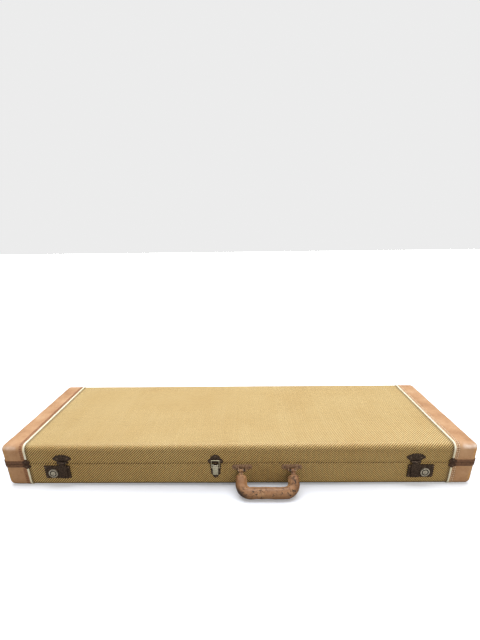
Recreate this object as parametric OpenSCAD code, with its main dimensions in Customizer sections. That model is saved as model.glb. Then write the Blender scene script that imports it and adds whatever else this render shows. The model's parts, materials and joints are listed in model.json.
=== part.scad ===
// Hard guitar case: a cloth-covered plywood box with leather ends, closed and lying on its bottom.
// The handle side faces -Y, +X runs along the length and +Z is up.
// The origin is at the centre of the bottom face. All sizes are in millimetres and degrees.

/* [Case] */
// Length over the leather ends
case_l = 1057; // [1040:1:1080]
// Depth over the leather ends, from the handle side to the hinge side
case_d = 358; // [350:1:380]
// Height of the closed case
case_h = 105; // [103:1:115]
// Height of the parting line above the bottom
part_z = 59; // [58:0.5:62]
// Radius of the long edges
edge_r = 14; // [10:1:16]
// Radius of the upright corners
corner_r = 15; // [12:1:20]
// Radius where the top and bottom turn into the ends
end_edge_r = 11; // [8:1:14]

/* [Covering] */
// Width of the leather end caps, from the piping to the end
cap_w = 53; // [40:1:60]
// Thickness of the leather
leather_t = 2; // [1.6:0.1:2.4]
// How far the cloth lies below the leather
cloth_step = 0.8; // [0.4:0.1:1]
// Width of the piping between cloth and leather
piping_w = 4; // [3:0.5:5]
// How far the piping stands above the leather
piping_rise = 1.2; // [0.6:0.1:1.4]
// Height of one metal end rail
rail_h = 8; // [6:0.5:9]
// Thickness of the metal end rails
rail_t = 1.6; // [1:0.1:2]

/* [Box] */
// Thickness of the bottom plywood
bottom_t = 5; // [4:0.5:6]
// Thickness of the top plywood
top_t = 4; // [3:0.5:5]
// Thickness of the side and end walls
wall_t = 8; // [6:1:9]
// Open gap between the rims of the base and the lid
rim_gap = 0.6; // [0.4:0.1:1]
// Thickness of the plush on the walls
lining_t = 2.5; // [2:0.1:3]
// Thickness of the floor pad
floor_pad_t = 8; // [6:1:10]
// Thickness of the pad under the lid
lid_pad_t = 6; // [4:1:8]
// How far the base lining stands above the rim
lip_h = 6; // [4:0.5:7]

/* [Inside] */
// Centre of the neck cradle along the length
cradle_x = -238; // [-260:1:-220]
// Length of the neck cradle
cradle_l = 48; // [40:1:60]
// Height of the neck cradle above the floor pad
cradle_h = 32; // [26:1:36]
// Radius of the neck cradle's hollow
cradle_r = 30; // [26:1:34]
// Right end of the accessory compartment
compartment_x1 = 50; // [0:1:60]
// Width of the accessory compartment, wall to wall
compartment_w = 54; // [48:1:54]
// Length of the compartment lid across the case
compartment_lid_w = 51.5; // [46:0.5:51.5]
// Height of the compartment lid's top face
compartment_z = 38.3; // [36:0.1:38.5]
// Radius of the hollow that the corner pads leave for the guitar's lower end
corner_pad_r = 150; // [140:1:160]

/* [Handle] */
// Place of the handle's middle along the length
handle_x = 65; // [40:0.5:80]
// Distance between the two handle mounts
handle_span = 111; // [100:1:120]
// Height of the handle's pivot
handle_z = 46; // [44:0.5:47]
// Distance of the handle's pivot from the cloth
handle_out = 10; // [9:0.5:12]
// Distance from the pivot to the middle of the grip
handle_reach = 49; // [44:1:58]
// Radius of the grip
grip_r = 12.5; // [10:0.5:13]
// Bend radius at the middle of the grip's corners
grip_bend_r = 20; // [16:1:22]

/* [Latches] */
// Place of the lock plates' centre along the length, on either side
lock_x = 407; // [380:1:415]
// Width of a lock plate
lock_w = 56; // [55:1:60]
// Lower edge of a lock plate
lock_z0 = 24; // [22:1:25]
// Upper edge of a lock plate
lock_z1 = 55; // [54:0.5:56]
// Travel of the lock knob
lock_travel = 4.5; // [3:0.5:4.5]
// Place of the draw latch along the length
latch_x = -50; // [-80:1:-40]
// Height of the draw latch lever's pivot
lever_z = 56.2; // [55:0.1:56.5]
// Distance between the lever's pivot and the bail's pivot
bail_offset = 6; // [5.5:0.1:6.5]

/* [Hinges] */
// Place of the outer hinges along the length, on either side
hinge_x = 330; // [250:5:400]
// Length of one hinge
hinge_l = 38; // [36:1:44]
// Radius of a hinge knuckle
knuckle_r = 3.2; // [3:0.1:3.3]
// Distance of the hinge axis from the cloth
hinge_out = 3.6; // [3.6:0.1:4]

/* [Hidden] */
$fn = 64;
over = 1; // how far a cutter reaches past what it cuts
half_l = case_l / 2;
half_d = case_d / 2;
rim_base = part_z - rim_gap / 2;
rim_lid = part_z + rim_gap / 2;

// Wooden box under the covering
wood_l = half_l - leather_t;
wood_d = half_d - leather_t;
wood_z0 = leather_t;
wood_z1 = case_h - leather_t;
wood_edge_r = edge_r - leather_t;
inner_l = wood_l - wall_t;
inner_d = wood_d - wall_t;
floor_z = wood_z0 + bottom_t;
ceiling_z = wood_z1 - top_t;

// Covering
cap_x = half_l - cap_w; // middle of the piping
cloth_x = cap_x - piping_w / 2;
leather_x = cap_x + piping_w / 2;
cloth_d = half_d - cloth_step;
cloth_z1 = case_h - cloth_step;
plate_h = 12; // height of a rail's end plate, from the parting line
lobe_r = 3.8;

// Lining
pad_top = floor_z + floor_pad_t;
pad_under = ceiling_z - lid_pad_t;
lining_l = inner_l - lining_t;
lining_d = inner_d - lining_t;
lip_inset = 0.8;
pad_inset = 0.3;
lid_lining_z = rim_base + lip_h + 1.8;

// Accessory compartment
board_t = 5;
ledge_w = 5.5;
cradle_x0 = cradle_x - cradle_l / 2;
cradle_x1 = cradle_x + cradle_l / 2;
compartment_y0 = -lining_d;
compartment_y1 = compartment_y0 + compartment_w;
compartment_hinge_y = compartment_y0 + ledge_w + 0.4;
compartment_lid_t = 4;
compartment_end_gap = 1.5;
tape_t = 0.6;
tape_w = 4;

// Nails
nail_r = 0.8;
nail_hole_r = 0.9;
nail_head_r = 2;
nail_head_h = 1;
nail_l = 8;

// Handle, in its own frame: the pivot is the origin and the grip lies towards -Y
handle_droop = asin((handle_z - grip_r - 0.4) / handle_reach);
grip_half = handle_span / 2 + 2.3;
leg_start = 11;
leg_r = 10.5;
lug_gap = 7.4;
lug_t = 1.6;
lug_r = 3.5;
handle_pin_r = 1.75;
core_w = 10;
core_t = 1.4;
eye_r = 3.4;
handle_plate_w = 46;
handle_plate_t = 1.6;
handle_plate_up = 3.5; // plate's middle above the pivot

// Lock, in its own frame: x outwards from the hasp side, z from the bottom of the case
lock_depth = 4.2;
lock_skin = 1.2;
lock_nail_in_x = 2.2; // nails' distance from the plate's edges
lock_nail_in_z = 3.2;
knob_dx = 8.5; // from the plate's centre
knob_z = 38.5;
knob_r = 10;
knob_t = 4;
stem_r = 5.4;
plug_r = 4;
plug_hole_r = 4.05;
slot_r = 5.8;
bolt_t = 2.2;
bolt_gap = 0.3;
bolt_x0 = -7.6;
bolt_x1 = 19.1;
channel_x0 = -18.5;
channel_x1 = -8.5;
channel_z0 = 33;
hasp_dx = -13.5;
hasp_w = 20;
hasp_tip_w = 16; // width at the lower end
hasp_t = 1.8;
hasp_z = 63;
hasp_bottom = 24.4;
hasp_nail_z = 73;
hasp_out = 4.4; // hinge axis from the cloth
hasp_knuckle_r = 2.6;
hasp_knuckle_l = 10.4;
hasp_pin_r = 1.1;
hasp_plate_t = 1.6;
spring_h = 7; // half height of the leaf spring
spring_sag = 7.5;
spring_t = 0.5;

// Draw latch
lever_out = 4.7; // pivot from the cloth
lever_w = 12;
lever_t = 1.2;
lever_front = 3.5; // front face from the pivot
lever_bottom = 34;
lever_top = 0.8; // upper edge of the front plate, from the pivot
flange_r = 2.9;
bail_z = 69;
bail_half = 8.75;
bail_r = 1.1;
bail_hole_r = 1.16;
latch_lug_x = 3;
latch_lug_t = 1.4;
latch_lug_r = 2.1;
latch_pin_r = 1.2;
latch_plate_t = 1.5;
catch_z0 = 59.8; // catch's lower edge, just above the parting line
ear_x = 11.2;
ear_r = 5.5;

// Hinges
leaf_t = 1.2;
leaf_h = 20;
leaf_notch = 4.5;
hinge_pin_r = 1.5;
hinge_bore_r = 1.55;
knuckle_gap = 0.4;
knuckle_l = (hinge_l - 2 * knuckle_gap) / 3;
hinge_y = cloth_d + hinge_out;

WOOD = [0.72, 0.56, 0.38];
CLOTH = [0.78, 0.68, 0.46];
LEATHER = [0.60, 0.43, 0.31];
PIPING = [0.92, 0.88, 0.72];
DARK_METAL = [0.22, 0.18, 0.16];
NICKEL = [0.62, 0.60, 0.52];
PLUSH = [0.45, 0.10, 0.09];

// ---------------------------------------------------------------- shared shapes

// Box between two opposite corners
module box(low, high) {
    translate(low) cube(high - low);
}

// Rectangle with round corners, centred
module round_rect(w, h, r) {
    square([w - 2 * r, h], center = true);
    square([w, h - 2 * r], center = true);
    for (x = [-1, 1], y = [-1, 1]) translate([x * (w / 2 - r), y * (h / 2 - r)]) circle(r);
}

// Outline seen from above, between two heights
module plan_view(l, d, r, z0, z1) {
    translate([0, 0, z0]) linear_extrude(z1 - z0) round_rect(2 * l, 2 * d, r);
}

// Outline seen from one end, between two places along the length
module end_view(d, z0, z1, r, x0, x1) {
    translate([x0, 0, (z0 + z1) / 2]) rotate([90, 0, 90])
        linear_extrude(x1 - x0) round_rect(2 * d, z1 - z0, r);
}

// Outline seen from the handle side, over the whole depth
module side_view(l, z0, z1, r, d) {
    translate([0, d, (z0 + z1) / 2]) rotate([90, 0, 0])
        linear_extrude(2 * d) round_rect(2 * l, z1 - z0, r);
}

// The whole case as one rounded block, set in from the leather by inset
module envelope(inset) {
    intersection() {
        plan_view(half_l - inset, half_d - inset, corner_r - inset, inset, case_h - inset);
        end_view(half_d - inset, inset, case_h - inset, edge_r - inset, -half_l, half_l);
        side_view(half_l - inset, inset, case_h - inset, end_edge_r - inset, half_d);
    }
}

// A wooden piece: the part of the box's outer shape between two corners
module wood_piece(low, high) {
    color(WOOD) intersection() {
        envelope(leather_t);
        box(low, high);
    }
}

// Cylinder along X, centred
module x_cylinder(r, l) {
    rotate([0, 90, 0]) cylinder(r = r, h = l, center = true);
}

// Cylinder along Y, from y0 to y1
module y_cylinder(r, y0, y1) {
    translate([0, y1, 0]) rotate([90, 0, 0]) cylinder(r = r, h = y1 - y0);
}

// Mirrors a right-hand piece to the left where side is -1
module on_side(side) {
    if (side > 0) children();
    else mirror([1, 0, 0]) children();
}

// Dome-headed nail whose head sits on y = 0 and points to -Y
module nail() {
    ball_r = (nail_head_r ^ 2 + nail_head_h ^ 2) / (2 * nail_head_h);
    intersection() {
        translate([0, ball_r - nail_head_h, 0]) sphere(ball_r);
        y_cylinder(nail_head_r + over, -nail_head_h, 0);
    }
    y_cylinder(nail_r, -nail_head_h / 2, nail_l);
}

// ---------------------------------------------------------------- wooden box

module base_bottom_panel() {
    wood_piece([-half_l, -half_d, wood_z0], [half_l, half_d, floor_z]);
}

module base_front_wall() {
    wood_piece([-half_l, -half_d, floor_z], [half_l, -inner_d, rim_base]);
}

module base_back_wall() {
    wood_piece([-half_l, inner_d, floor_z], [half_l, half_d, rim_base]);
}

module base_end_walls() {
    wood_piece([-half_l, -inner_d, floor_z], [-inner_l, inner_d, rim_base]);
    wood_piece([inner_l, -inner_d, floor_z], [half_l, inner_d, rim_base]);
}

module lid_top_panel() {
    wood_piece([-half_l, -half_d, ceiling_z], [half_l, half_d, wood_z1]);
}

module lid_front_wall() {
    wood_piece([-half_l, -half_d, rim_lid], [half_l, -inner_d, ceiling_z]);
}

module lid_back_wall() {
    wood_piece([-half_l, inner_d, rim_lid], [half_l, half_d, ceiling_z]);
}

module lid_end_walls() {
    wood_piece([-half_l, -inner_d, rim_lid], [-inner_l, inner_d, ceiling_z]);
    wood_piece([inner_l, -inner_d, rim_lid], [half_l, inner_d, ceiling_z]);
}

// ---------------------------------------------------------------- covering

// Cloth between the pipings, as thick as the step from the wood allows
module cloth(z0, z1) {
    color(CLOTH) intersection() {
        difference() {
            end_view(cloth_d, 0, cloth_z1, edge_r, -cloth_x, cloth_x);
            end_view(wood_d, wood_z0, wood_z1, wood_edge_r, -half_l, half_l);
        }
        box([-half_l, -half_d, z0], [half_l, half_d, z1]);
    }
}

// Leather cap over one end
module cap(side, z0, z1) {
    color(LEATHER) on_side(side) intersection() {
        difference() {
            envelope(0);
            envelope(leather_t);
        }
        box([leather_x, -half_d, z0], [half_l, half_d, z1]);
    }
}

// Piping bead round one end, cut flat under the case and thinner below a rail's end plate
module piping_ring(side, z0, z1, plate_z0, plate_z1) {
    x0 = side * cap_x - piping_w / 2;
    x1 = x0 + piping_w;
    reach = half_d + 2 * piping_rise;
    difference() {
        union() {
            intersection() {
                end_view(half_d + piping_rise, 0, case_h + piping_rise, edge_r + piping_rise, x0, x1);
                box([x0, -reach, z0], [x1, reach, z1]);
            }
            box([x0, -half_d, plate_z0], [x1, half_d, plate_z1]);
        }
        end_view(wood_d, wood_z0, wood_z1, wood_edge_r, x0 - over, x1 + over);
    }
}

module base_piping() {
    color(PIPING) for (side = [-1, 1])
        piping_ring(side, 0, part_z - plate_h, part_z - plate_h, rim_base);
}

module lid_piping() {
    color(PIPING) for (side = [-1, 1])
        piping_ring(side, part_z + plate_h, case_h + piping_rise, rim_lid, part_z + plate_h);
}

// Metal rail round one end along the rim, with a three-lobed plate at each of its ends.
// up is 1 on the lid and -1 on the base.
module rail(side, up) {
    z0 = up > 0 ? rim_lid : part_z - rail_h;
    z1 = up > 0 ? part_z + rail_h : rim_base;
    difference() {
        union() {
            intersection() {
                plan_view(half_l + rail_t, half_d + rail_t, corner_r + rail_t, z0, z1);
                on_side(side) box([cap_x, -case_d, z0], [case_l, case_d, z1]);
            }
            for (face = [-1, 1]) rail_end(side * cap_x, face, up);
        }
        plan_view(half_l, half_d, corner_r, 0, case_h);
        for (face = [-1, 1]) translate([side * cap_x, face * half_d, part_z + up * 6.4])
            y_cylinder(nail_hole_r, -2 * rail_t, 2 * rail_t);
    }
}

// Three lobes round the end of a rail
module rail_end(x, face, up) {
    y0 = face > 0 ? half_d : -half_d - rail_t;
    translate([x, 0, part_z]) {
        for (lobe = [[0, plate_h - lobe_r], [5, 5], [-5, 5]])
            translate([lobe[0], 0, up * lobe[1]]) y_cylinder(lobe_r, y0, y0 + rail_t);
        intersection() {
            box([-5, y0, -5], [5, y0 + rail_t, 5]);
            box([-5, -case_d, up > 0 ? rim_gap / 2 : -5], [5, case_d, up > 0 ? 5 : -rim_gap / 2]);
        }
    }
}

module base_rails() {
    color(DARK_METAL) for (side = [-1, 1]) rail(side, -1);
}

module lid_rails() {
    color(DARK_METAL) for (side = [-1, 1]) rail(side, 1);
}

// Nails through a set of points [x, y, z]; face is -1 on the handle side and 1 on the hinge side
module nails(points, face) {
    for (p = points) translate(p) rotate([0, 0, face < 0 ? 0 : 180]) nail();
}

function rail_nail_points(face, up) = [
    for (side = [-1, 1]) [side * cap_x, face * (half_d + rail_t), part_z + up * 6.4]
];
function lock_nail_points() = [
    for (side = [-1, 1], x = [-1, 1], z = [lock_z0 + lock_nail_in_z, lock_z1 - lock_nail_in_z])
        [side * (lock_x + x * (lock_w / 2 - lock_nail_in_x)), -cloth_d - lock_depth, z]
];
function handle_nail_points() = [
    for (side = [-1, 1], x = [-16, 16])
        [handle_x + side * handle_span / 2 + x, -cloth_d - handle_plate_t, handle_z + handle_plate_up]
];
latch_nail_points = [
    for (p = [[-9, 38], [9, 38], [0, 25.5]]) [latch_x + p[0], -cloth_d - latch_plate_t, p[1]]
];
hasp_nail_points = [
    for (side = [-1, 1], x = [-11, 11])
        [side * (lock_x + hasp_dx) + x, -cloth_d - hasp_plate_t, hasp_nail_z]
];
catch_nail_points = [
    for (p = [[-12, 65.5], [12, 65.5], [0, 77.5]]) [latch_x + p[0], -cloth_d - hasp_plate_t, p[1]]
];

module base_nails() {
    color(NICKEL) {
        nails(rail_nail_points(-1, -1), -1);
        nails(rail_nail_points(1, -1), 1);
        nails(lock_nail_points(), -1);
        nails(handle_nail_points(), -1);
        nails(latch_nail_points, -1);
    }
}

module lid_nails() {
    color(NICKEL) {
        nails(rail_nail_points(-1, 1), -1);
        nails(rail_nail_points(1, 1), 1);
        nails(hasp_nail_points, -1);
        nails(catch_nail_points, -1);
    }
}

// ---------------------------------------------------------------- lining and inside

module base_floor_pad() {
    l = inner_l - pad_inset;
    d = inner_d - pad_inset;
    color(PLUSH) box([-l, -d, floor_z], [l, d, pad_top]);
}

// Plush on the walls of the base; it stands above the rim in front and at the ends
module base_wall_lining() {
    lip_l = inner_l - lip_inset;
    lip_d = inner_d - lip_inset;
    color(PLUSH) difference() {
        union() {
            box([-inner_l, -inner_d, pad_top], [inner_l, inner_d, rim_base - 1]);
            box([-lip_l, -lip_d, pad_top], [lip_l, lining_d, rim_base + lip_h]);
        }
        box([-lining_l, -lining_d, 0], [lining_l, lining_d, case_h]);
        box([-case_l, lining_d - over, rim_base - 1], [case_l, case_d, case_h]);
    }
}

module lid_wall_lining() {
    color(PLUSH) difference() {
        box([-inner_l, -inner_d, lid_lining_z], [inner_l, inner_d, pad_under]);
        box([-lining_l, -lining_d, 0], [lining_l, lining_d, case_h]);
    }
}

module lid_pad() {
    l = inner_l - pad_inset;
    d = inner_d - pad_inset;
    color(PLUSH) box([-l, -d, pad_under], [l, d, ceiling_z]);
}

// Block across the case with a round hollow for the neck
module neck_cradle() {
    top = pad_top + cradle_h;
    color(PLUSH) difference() {
        box([cradle_x0, -lining_d, pad_top], [cradle_x1, lining_d, top]);
        translate([cradle_x, 0, top + 8]) x_cylinder(cradle_r, cradle_l + 2 * over);
    }
}

// Two pads in the right-hand corners, hollowed to the round of the guitar's lower end
module corner_pads() {
    pad_l = 110;
    top = pad_top + cradle_h;
    color(PLUSH) for (face = [-1, 1]) intersection() {
        difference() {
            box([lining_l - pad_l, -lining_d, pad_top], [lining_l, lining_d, top]);
            translate([lining_l - corner_pad_r - 2, 0, 0]) cylinder(r = corner_pad_r + 4, h = case_h);
        }
        box([0, face > 0 ? 30 : -case_d, 0], [case_l, face > 0 ? case_d : -30, case_h]);
    }
}

module compartment_walls() {
    top = compartment_z - compartment_lid_t - 0.3;
    color(PLUSH) difference() {
        box([cradle_x1, compartment_y0, pad_top], [compartment_x1, compartment_y1, top]);
        box([cradle_x1 - over, compartment_y0 - over, 0],
            [compartment_x1 - board_t, compartment_y1 - board_t, case_h]);
    }
}

module compartment_ledge() {
    color(PLUSH) box([cradle_x1, compartment_y0, compartment_z - compartment_lid_t],
        [compartment_x1, compartment_y0 + ledge_w, compartment_z]);
}

module compartment_hinge_tape() {
    y1 = compartment_y0 + ledge_w;
    color(PLUSH) box([cradle_x1 + compartment_end_gap, y1 - tape_w, compartment_z],
        [compartment_x1 - compartment_end_gap, y1, compartment_z + tape_t]);
}

module compartment_lid() {
    color(PLUSH) box(
        [cradle_x1 + compartment_end_gap, compartment_hinge_y, compartment_z - compartment_lid_t],
        [compartment_x1 - compartment_end_gap, compartment_hinge_y + compartment_lid_w, compartment_z]);
}

module compartment_pull_tab() {
    tab_w = 20;
    tab_l = 22;
    tab_t = 1.6;
    x = (cradle_x1 + compartment_x1) / 2;
    y1 = compartment_hinge_y + compartment_lid_w - 1;
    color(LEATHER) translate([x, 0, compartment_z]) {
        box([-tab_w / 2, y1 - tab_l, 0], [tab_w / 2, y1 - tab_w / 2, tab_t]);
        translate([0, y1 - tab_w / 2, 0]) cylinder(r = tab_w / 2, h = tab_t);
    }
}

// ---------------------------------------------------------------- locks

// Places the right-hand lock's frame: x from the plate's centre, y = 0 on the cloth
module at_lock(side) {
    on_side(side) translate([lock_x, -cloth_d, 0]) children();
}

// Shallow metal case that is open at the back, with the knob's slot and the tongue's channel
module lock_case(side) {
    half_w = lock_w / 2;
    color(DARK_METAL) at_lock(side) difference() {
        box([-half_w, -lock_depth, lock_z0], [half_w, 0, lock_z1]);
        box([-half_w + lock_skin, -lock_depth + lock_skin, lock_z0 + lock_skin],
            [half_w - lock_skin, over, lock_z1 - lock_skin]);
        translate([knob_dx, 0, knob_z]) y_cylinder(slot_r, -lock_depth - over, over);
        translate([knob_dx + lock_travel, 0, knob_z]) y_cylinder(slot_r, -lock_depth - over, over);
        box([knob_dx, -lock_depth - over, knob_z - slot_r],
            [knob_dx + lock_travel, over, knob_z + slot_r]);
        box([channel_x0, -lock_depth - over, channel_z0], [channel_x1, over, lock_z1 + over]);
        for (x = [-1, 1], z = [lock_z0 + lock_nail_in_z, lock_z1 - lock_nail_in_z])
            translate([x * (half_w - lock_nail_in_x), 0, z])
                y_cylinder(nail_hole_r, -lock_depth - over, over);
    }
}

// Knob with its stem and the bolt behind the plate, in one riveted piece
module lock_knob(side) {
    front = -lock_depth - bolt_gap;
    bolt_y1 = -lock_depth + lock_skin + bolt_gap + bolt_t;
    color(NICKEL) at_lock(side) translate([knob_dx, 0, knob_z]) difference() {
        union() {
            y_cylinder(knob_r, front - knob_t, front);
            y_cylinder(stem_r, front - over, bolt_y1);
            box([bolt_x0 - knob_dx, bolt_y1 - bolt_t, -6], [bolt_x1 - knob_dx, bolt_y1, 6]);
        }
        y_cylinder(plug_hole_r, -case_d, over);
        difference() {
            y_cylinder(knob_r - 2.2, front - knob_t - over, front - knob_t + 1);
            y_cylinder(stem_r, front - knob_t - 2 * over, front);
        }
    }
}

module lock_key_plug(side) {
    front = -lock_depth - bolt_gap - knob_t - 0.4;
    back = -lock_depth + lock_skin + bolt_gap + bolt_t;
    color(NICKEL) at_lock(side) translate([knob_dx, 0, knob_z]) difference() {
        y_cylinder(plug_r, front, back);
        box([-0.6, front - over, -2.6], [0.6, front + 3, 2.6]);
    }
}

// Bowed leaf spring between the bolt and the plate's outer wall
module lock_spring(side) {
    bow_r = (spring_h ^ 2 + spring_sag ^ 2) / (2 * spring_sag);
    x0 = bolt_x1 + 0.1;
    color(NICKEL) at_lock(side) intersection() {
        difference() {
            translate([x0 + bow_r, 0, knob_z]) y_cylinder(bow_r, -2.6, -0.8);
            translate([x0 + bow_r, 0, knob_z]) y_cylinder(bow_r - spring_t, -2.7, -0.7);
        }
        box([x0 - over, -3, knob_z - spring_h], [x0 + spring_sag, 0, knob_z + spring_h]);
    }
}

// Places the right-hand hasp's frame: x from the hasp's centre, y = 0 on the cloth
module at_hasp(side) {
    at_lock(side) translate([hasp_dx, 0, 0]) children();
}

// Fan-shaped plate on the lid with the two outer knuckles
module hasp_plate(side) {
    knuckle_side = (hasp_w - hasp_knuckle_l) / 2 - 0.4;
    half = [[12, 61.5], [12.5, 65.5], [20.4, 71.4], [21.2, 73.4],
            [19.8, 75.6], [14, 79.8], [7, 82.2], [0, 83]];
    outline = concat(half, [for (i = [len(half) - 2:-1:0]) [-half[i][0], half[i][1]]]);
    color(DARK_METAL) at_hasp(side) difference() {
        union() {
            rotate([90, 0, 0]) linear_extrude(hasp_plate_t) polygon(outline);
            for (x = [-1, 1]) translate([x * (hasp_w - knuckle_side) / 2, -hasp_out, hasp_z]) {
                x_cylinder(hasp_knuckle_r, knuckle_side);
                box([-knuckle_side / 2, 0, -1.5], [knuckle_side / 2, hasp_out, 1.5]);
            }
        }
        translate([0, -hasp_out, hasp_z]) x_cylinder(hasp_pin_r + 0.05, hasp_w + over);
        for (x = [-11, 11]) translate([x, 0, hasp_nail_z]) y_cylinder(nail_hole_r, -2 * hasp_plate_t, over);
    }
}

// Swinging bar with its middle knuckle and the tongue that enters the lock
module hasp(side) {
    back = -lock_depth - 0.4;
    front = back - hasp_t;
    bar = [[-hasp_w / 2, hasp_z - 4], [hasp_w / 2, hasp_z - 4],
           [hasp_tip_w / 2, hasp_bottom], [-hasp_tip_w / 2, hasp_bottom]];
    color(DARK_METAL) at_hasp(side) difference() {
        union() {
            translate([0, back, 0]) rotate([90, 0, 0]) linear_extrude(hasp_t) polygon(bar);
            box([-hasp_knuckle_l / 2, front, hasp_z - 5], [hasp_knuckle_l / 2, back, hasp_z]);
            translate([0, -hasp_out, hasp_z]) x_cylinder(hasp_knuckle_r, hasp_knuckle_l);
            box([-4, back - over / 2, channel_z0 + 1], [4, -1.2, channel_z0 + 6]);
        }
        translate([0, -hasp_out, hasp_z]) x_cylinder(hasp_pin_r + 0.05, hasp_w + over);
    }
}

module hasp_pins() {
    color(NICKEL) for (side = [-1, 1]) at_hasp(side)
        translate([0, -hasp_out, hasp_z]) x_cylinder(hasp_pin_r, hasp_w);
}

// ---------------------------------------------------------------- draw latch

// Places the draw latch's frame: x from its centre, y = 0 on the cloth
module at_latch() {
    translate([latch_x, -cloth_d, 0]) children();
}

module latch_base_plate() {
    outline = [[-12, 58.2], [12, 58.2], [10.5, 34], [4, 23], [0, 21.5], [-4, 23], [-10.5, 34]];
    color(DARK_METAL) at_latch() difference() {
        union() {
            rotate([90, 0, 0]) linear_extrude(latch_plate_t) polygon(outline);
            for (x = [-1, 1]) translate([x * (latch_lug_x + latch_lug_t / 2), 0, lever_z]) {
                box([-latch_lug_t / 2, -lever_out, -latch_lug_r], [latch_lug_t / 2, 0, latch_lug_r]);
                translate([0, -lever_out, 0]) x_cylinder(latch_lug_r, latch_lug_t);
            }
        }
        translate([0, -lever_out, lever_z]) x_cylinder(latch_pin_r + 0.05, lever_w);
        for (p = latch_nail_points)
            translate([p[0] - latch_x, 0, p[2]]) y_cylinder(nail_hole_r, -2 * latch_plate_t, over);
    }
}

module latch_pin() {
    color(NICKEL) at_latch()
        translate([0, -lever_out, lever_z]) x_cylinder(latch_pin_r, lever_w + 0.6);
}

// Channel-shaped lever: a front plate with two flanges that hold both pivots
module latch_lever() {
    half_w = lever_w / 2;
    front_y = -lever_out - lever_front;
    color(NICKEL) at_latch() difference() {
        union() {
            box([-half_w, front_y, lever_bottom], [half_w, front_y + lever_t, lever_z + lever_top]);
            for (x = [-1, 1]) translate([x * (half_w - lever_t / 2), -lever_out, lever_z]) {
                x_cylinder(flange_r, lever_t);
                translate([0, 0, -bail_offset]) x_cylinder(flange_r, lever_t);
                box([-lever_t / 2, -lever_front + lever_t / 2, -bail_offset],
                    [lever_t / 2, flange_r, 0]);
                box([-lever_t / 2, -lever_front + lever_t / 2, -16], [lever_t / 2, 0, -bail_offset]);
            }
        }
        translate([0, -lever_out, lever_z]) x_cylinder(latch_pin_r + 0.05, lever_w + over);
        translate([0, -lever_out, lever_z - bail_offset]) x_cylinder(bail_hole_r, lever_w + over);
    }
}

// Wire loop from the lever's lower pivot up and over the catch
module latch_bail() {
    z0 = lever_z - bail_offset;
    stub_l = bail_half - lever_w / 2 + 1;
    color(NICKEL) at_latch() translate([0, -lever_out, 0]) {
        translate([0, 0, bail_z]) x_cylinder(bail_r, 2 * bail_half);
        for (x = [-1, 1]) {
            translate([x * bail_half, 0, z0]) cylinder(r = bail_r, h = bail_z - z0);
            translate([x * bail_half, 0, bail_z]) sphere(bail_r);
            translate([x * bail_half, 0, z0]) sphere(bail_r);
            translate([x * (bail_half - stub_l / 2), 0, z0]) x_cylinder(bail_r, stub_l);
        }
    }
}

// Catch plate on the lid: an arch between two ears, with the nose that the loop pulls on
module latch_catch() {
    color(DARK_METAL) at_latch() difference() {
        union() {
            translate([0, 0, 69.5]) y_cylinder(12, -hasp_plate_t, 0);
            box([-ear_x, -hasp_plate_t, catch_z0], [ear_x, 0, 69.5]);
            for (x = [-1, 1]) translate([x * ear_x, 0, catch_z0 + ear_r])
                y_cylinder(ear_r, -hasp_plate_t, 0);
            box([-6.5, -hasp_plate_t - 1.2, 63.2], [6.5, -hasp_plate_t / 2, 67.6]);
        }
        box([-ear_x, -2 * hasp_plate_t, catch_z0 - 5], [ear_x, over, catch_z0]);
        for (p = catch_nail_points)
            translate([p[0] - latch_x, 0, p[2]]) y_cylinder(nail_hole_r, -2 * hasp_plate_t, over);
    }
}

// ---------------------------------------------------------------- handle

// Oval plate with two lugs that hold the handle's pin
module handle_plate(side) {
    end_r = 6.5;
    end_x = handle_plate_w / 2 - end_r;
    translate([handle_x + side * handle_span / 2, -cloth_d, 0]) color(DARK_METAL) difference() {
        union() {
            translate([0, 0, handle_z + handle_plate_up]) {
                box([-end_x, -handle_plate_t, -end_r], [end_x, 0, end_r]);
                for (x = [-1, 1]) translate([x * end_x, 0, 0]) y_cylinder(end_r, -handle_plate_t, 0);
            }
            for (x = [-1, 1]) translate([x * (lug_gap + lug_t / 2), 0, handle_z]) {
                box([-lug_t / 2, -handle_out, -lug_r], [lug_t / 2, 0, lug_r]);
                translate([0, -handle_out, 0]) x_cylinder(lug_r, lug_t);
            }
        }
        translate([0, -handle_out, handle_z]) x_cylinder(handle_pin_r + 0.05, 3 * lug_gap);
        for (x = [-16, 16])
            translate([x, 0, handle_z + handle_plate_up])
                y_cylinder(nail_hole_r, -2 * handle_plate_t, over);
    }
}

module handle_pins() {
    color(NICKEL) for (side = [-1, 1])
        translate([handle_x + side * handle_span / 2, -cloth_d - handle_out, handle_z])
            x_cylinder(handle_pin_r, 2 * (lug_gap + lug_t) + 0.8);
}

// Turns the handle's own frame to its place, with the grip resting low in front of the case
module at_handle() {
    translate([handle_x, -cloth_d - handle_out, handle_z]) rotate([handle_droop, 0, 0]) children();
}

// Steel strip inside the handle, without its eyes
module core_strip() {
    straight = grip_half - grip_bend_r;
    leg_end = handle_reach - grip_bend_r;
    box([-straight, -handle_reach - core_w / 2, -core_t / 2],
        [straight, -handle_reach + core_w / 2, core_t / 2]);
    for (x = [-1, 1]) {
        box([x * grip_half - core_w / 2, -leg_end, -core_t / 2],
            [x * grip_half + core_w / 2, -eye_r + 0.6, core_t / 2]);
        on_side(x) translate([straight, -leg_end, -core_t / 2]) rotate([0, 0, -90])
            rotate_extrude(angle = 90) translate([grip_bend_r - core_w / 2, 0])
                square([core_w, core_t]);
    }
}

module handle_core() {
    color(NICKEL) at_handle() difference() {
        union() {
            core_strip();
            for (x = [-1, 1]) translate([x * grip_half, 0, 0]) x_cylinder(eye_r, core_w);
        }
        x_cylinder(handle_pin_r + 0.05, 2 * handle_span);
    }
}

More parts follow.
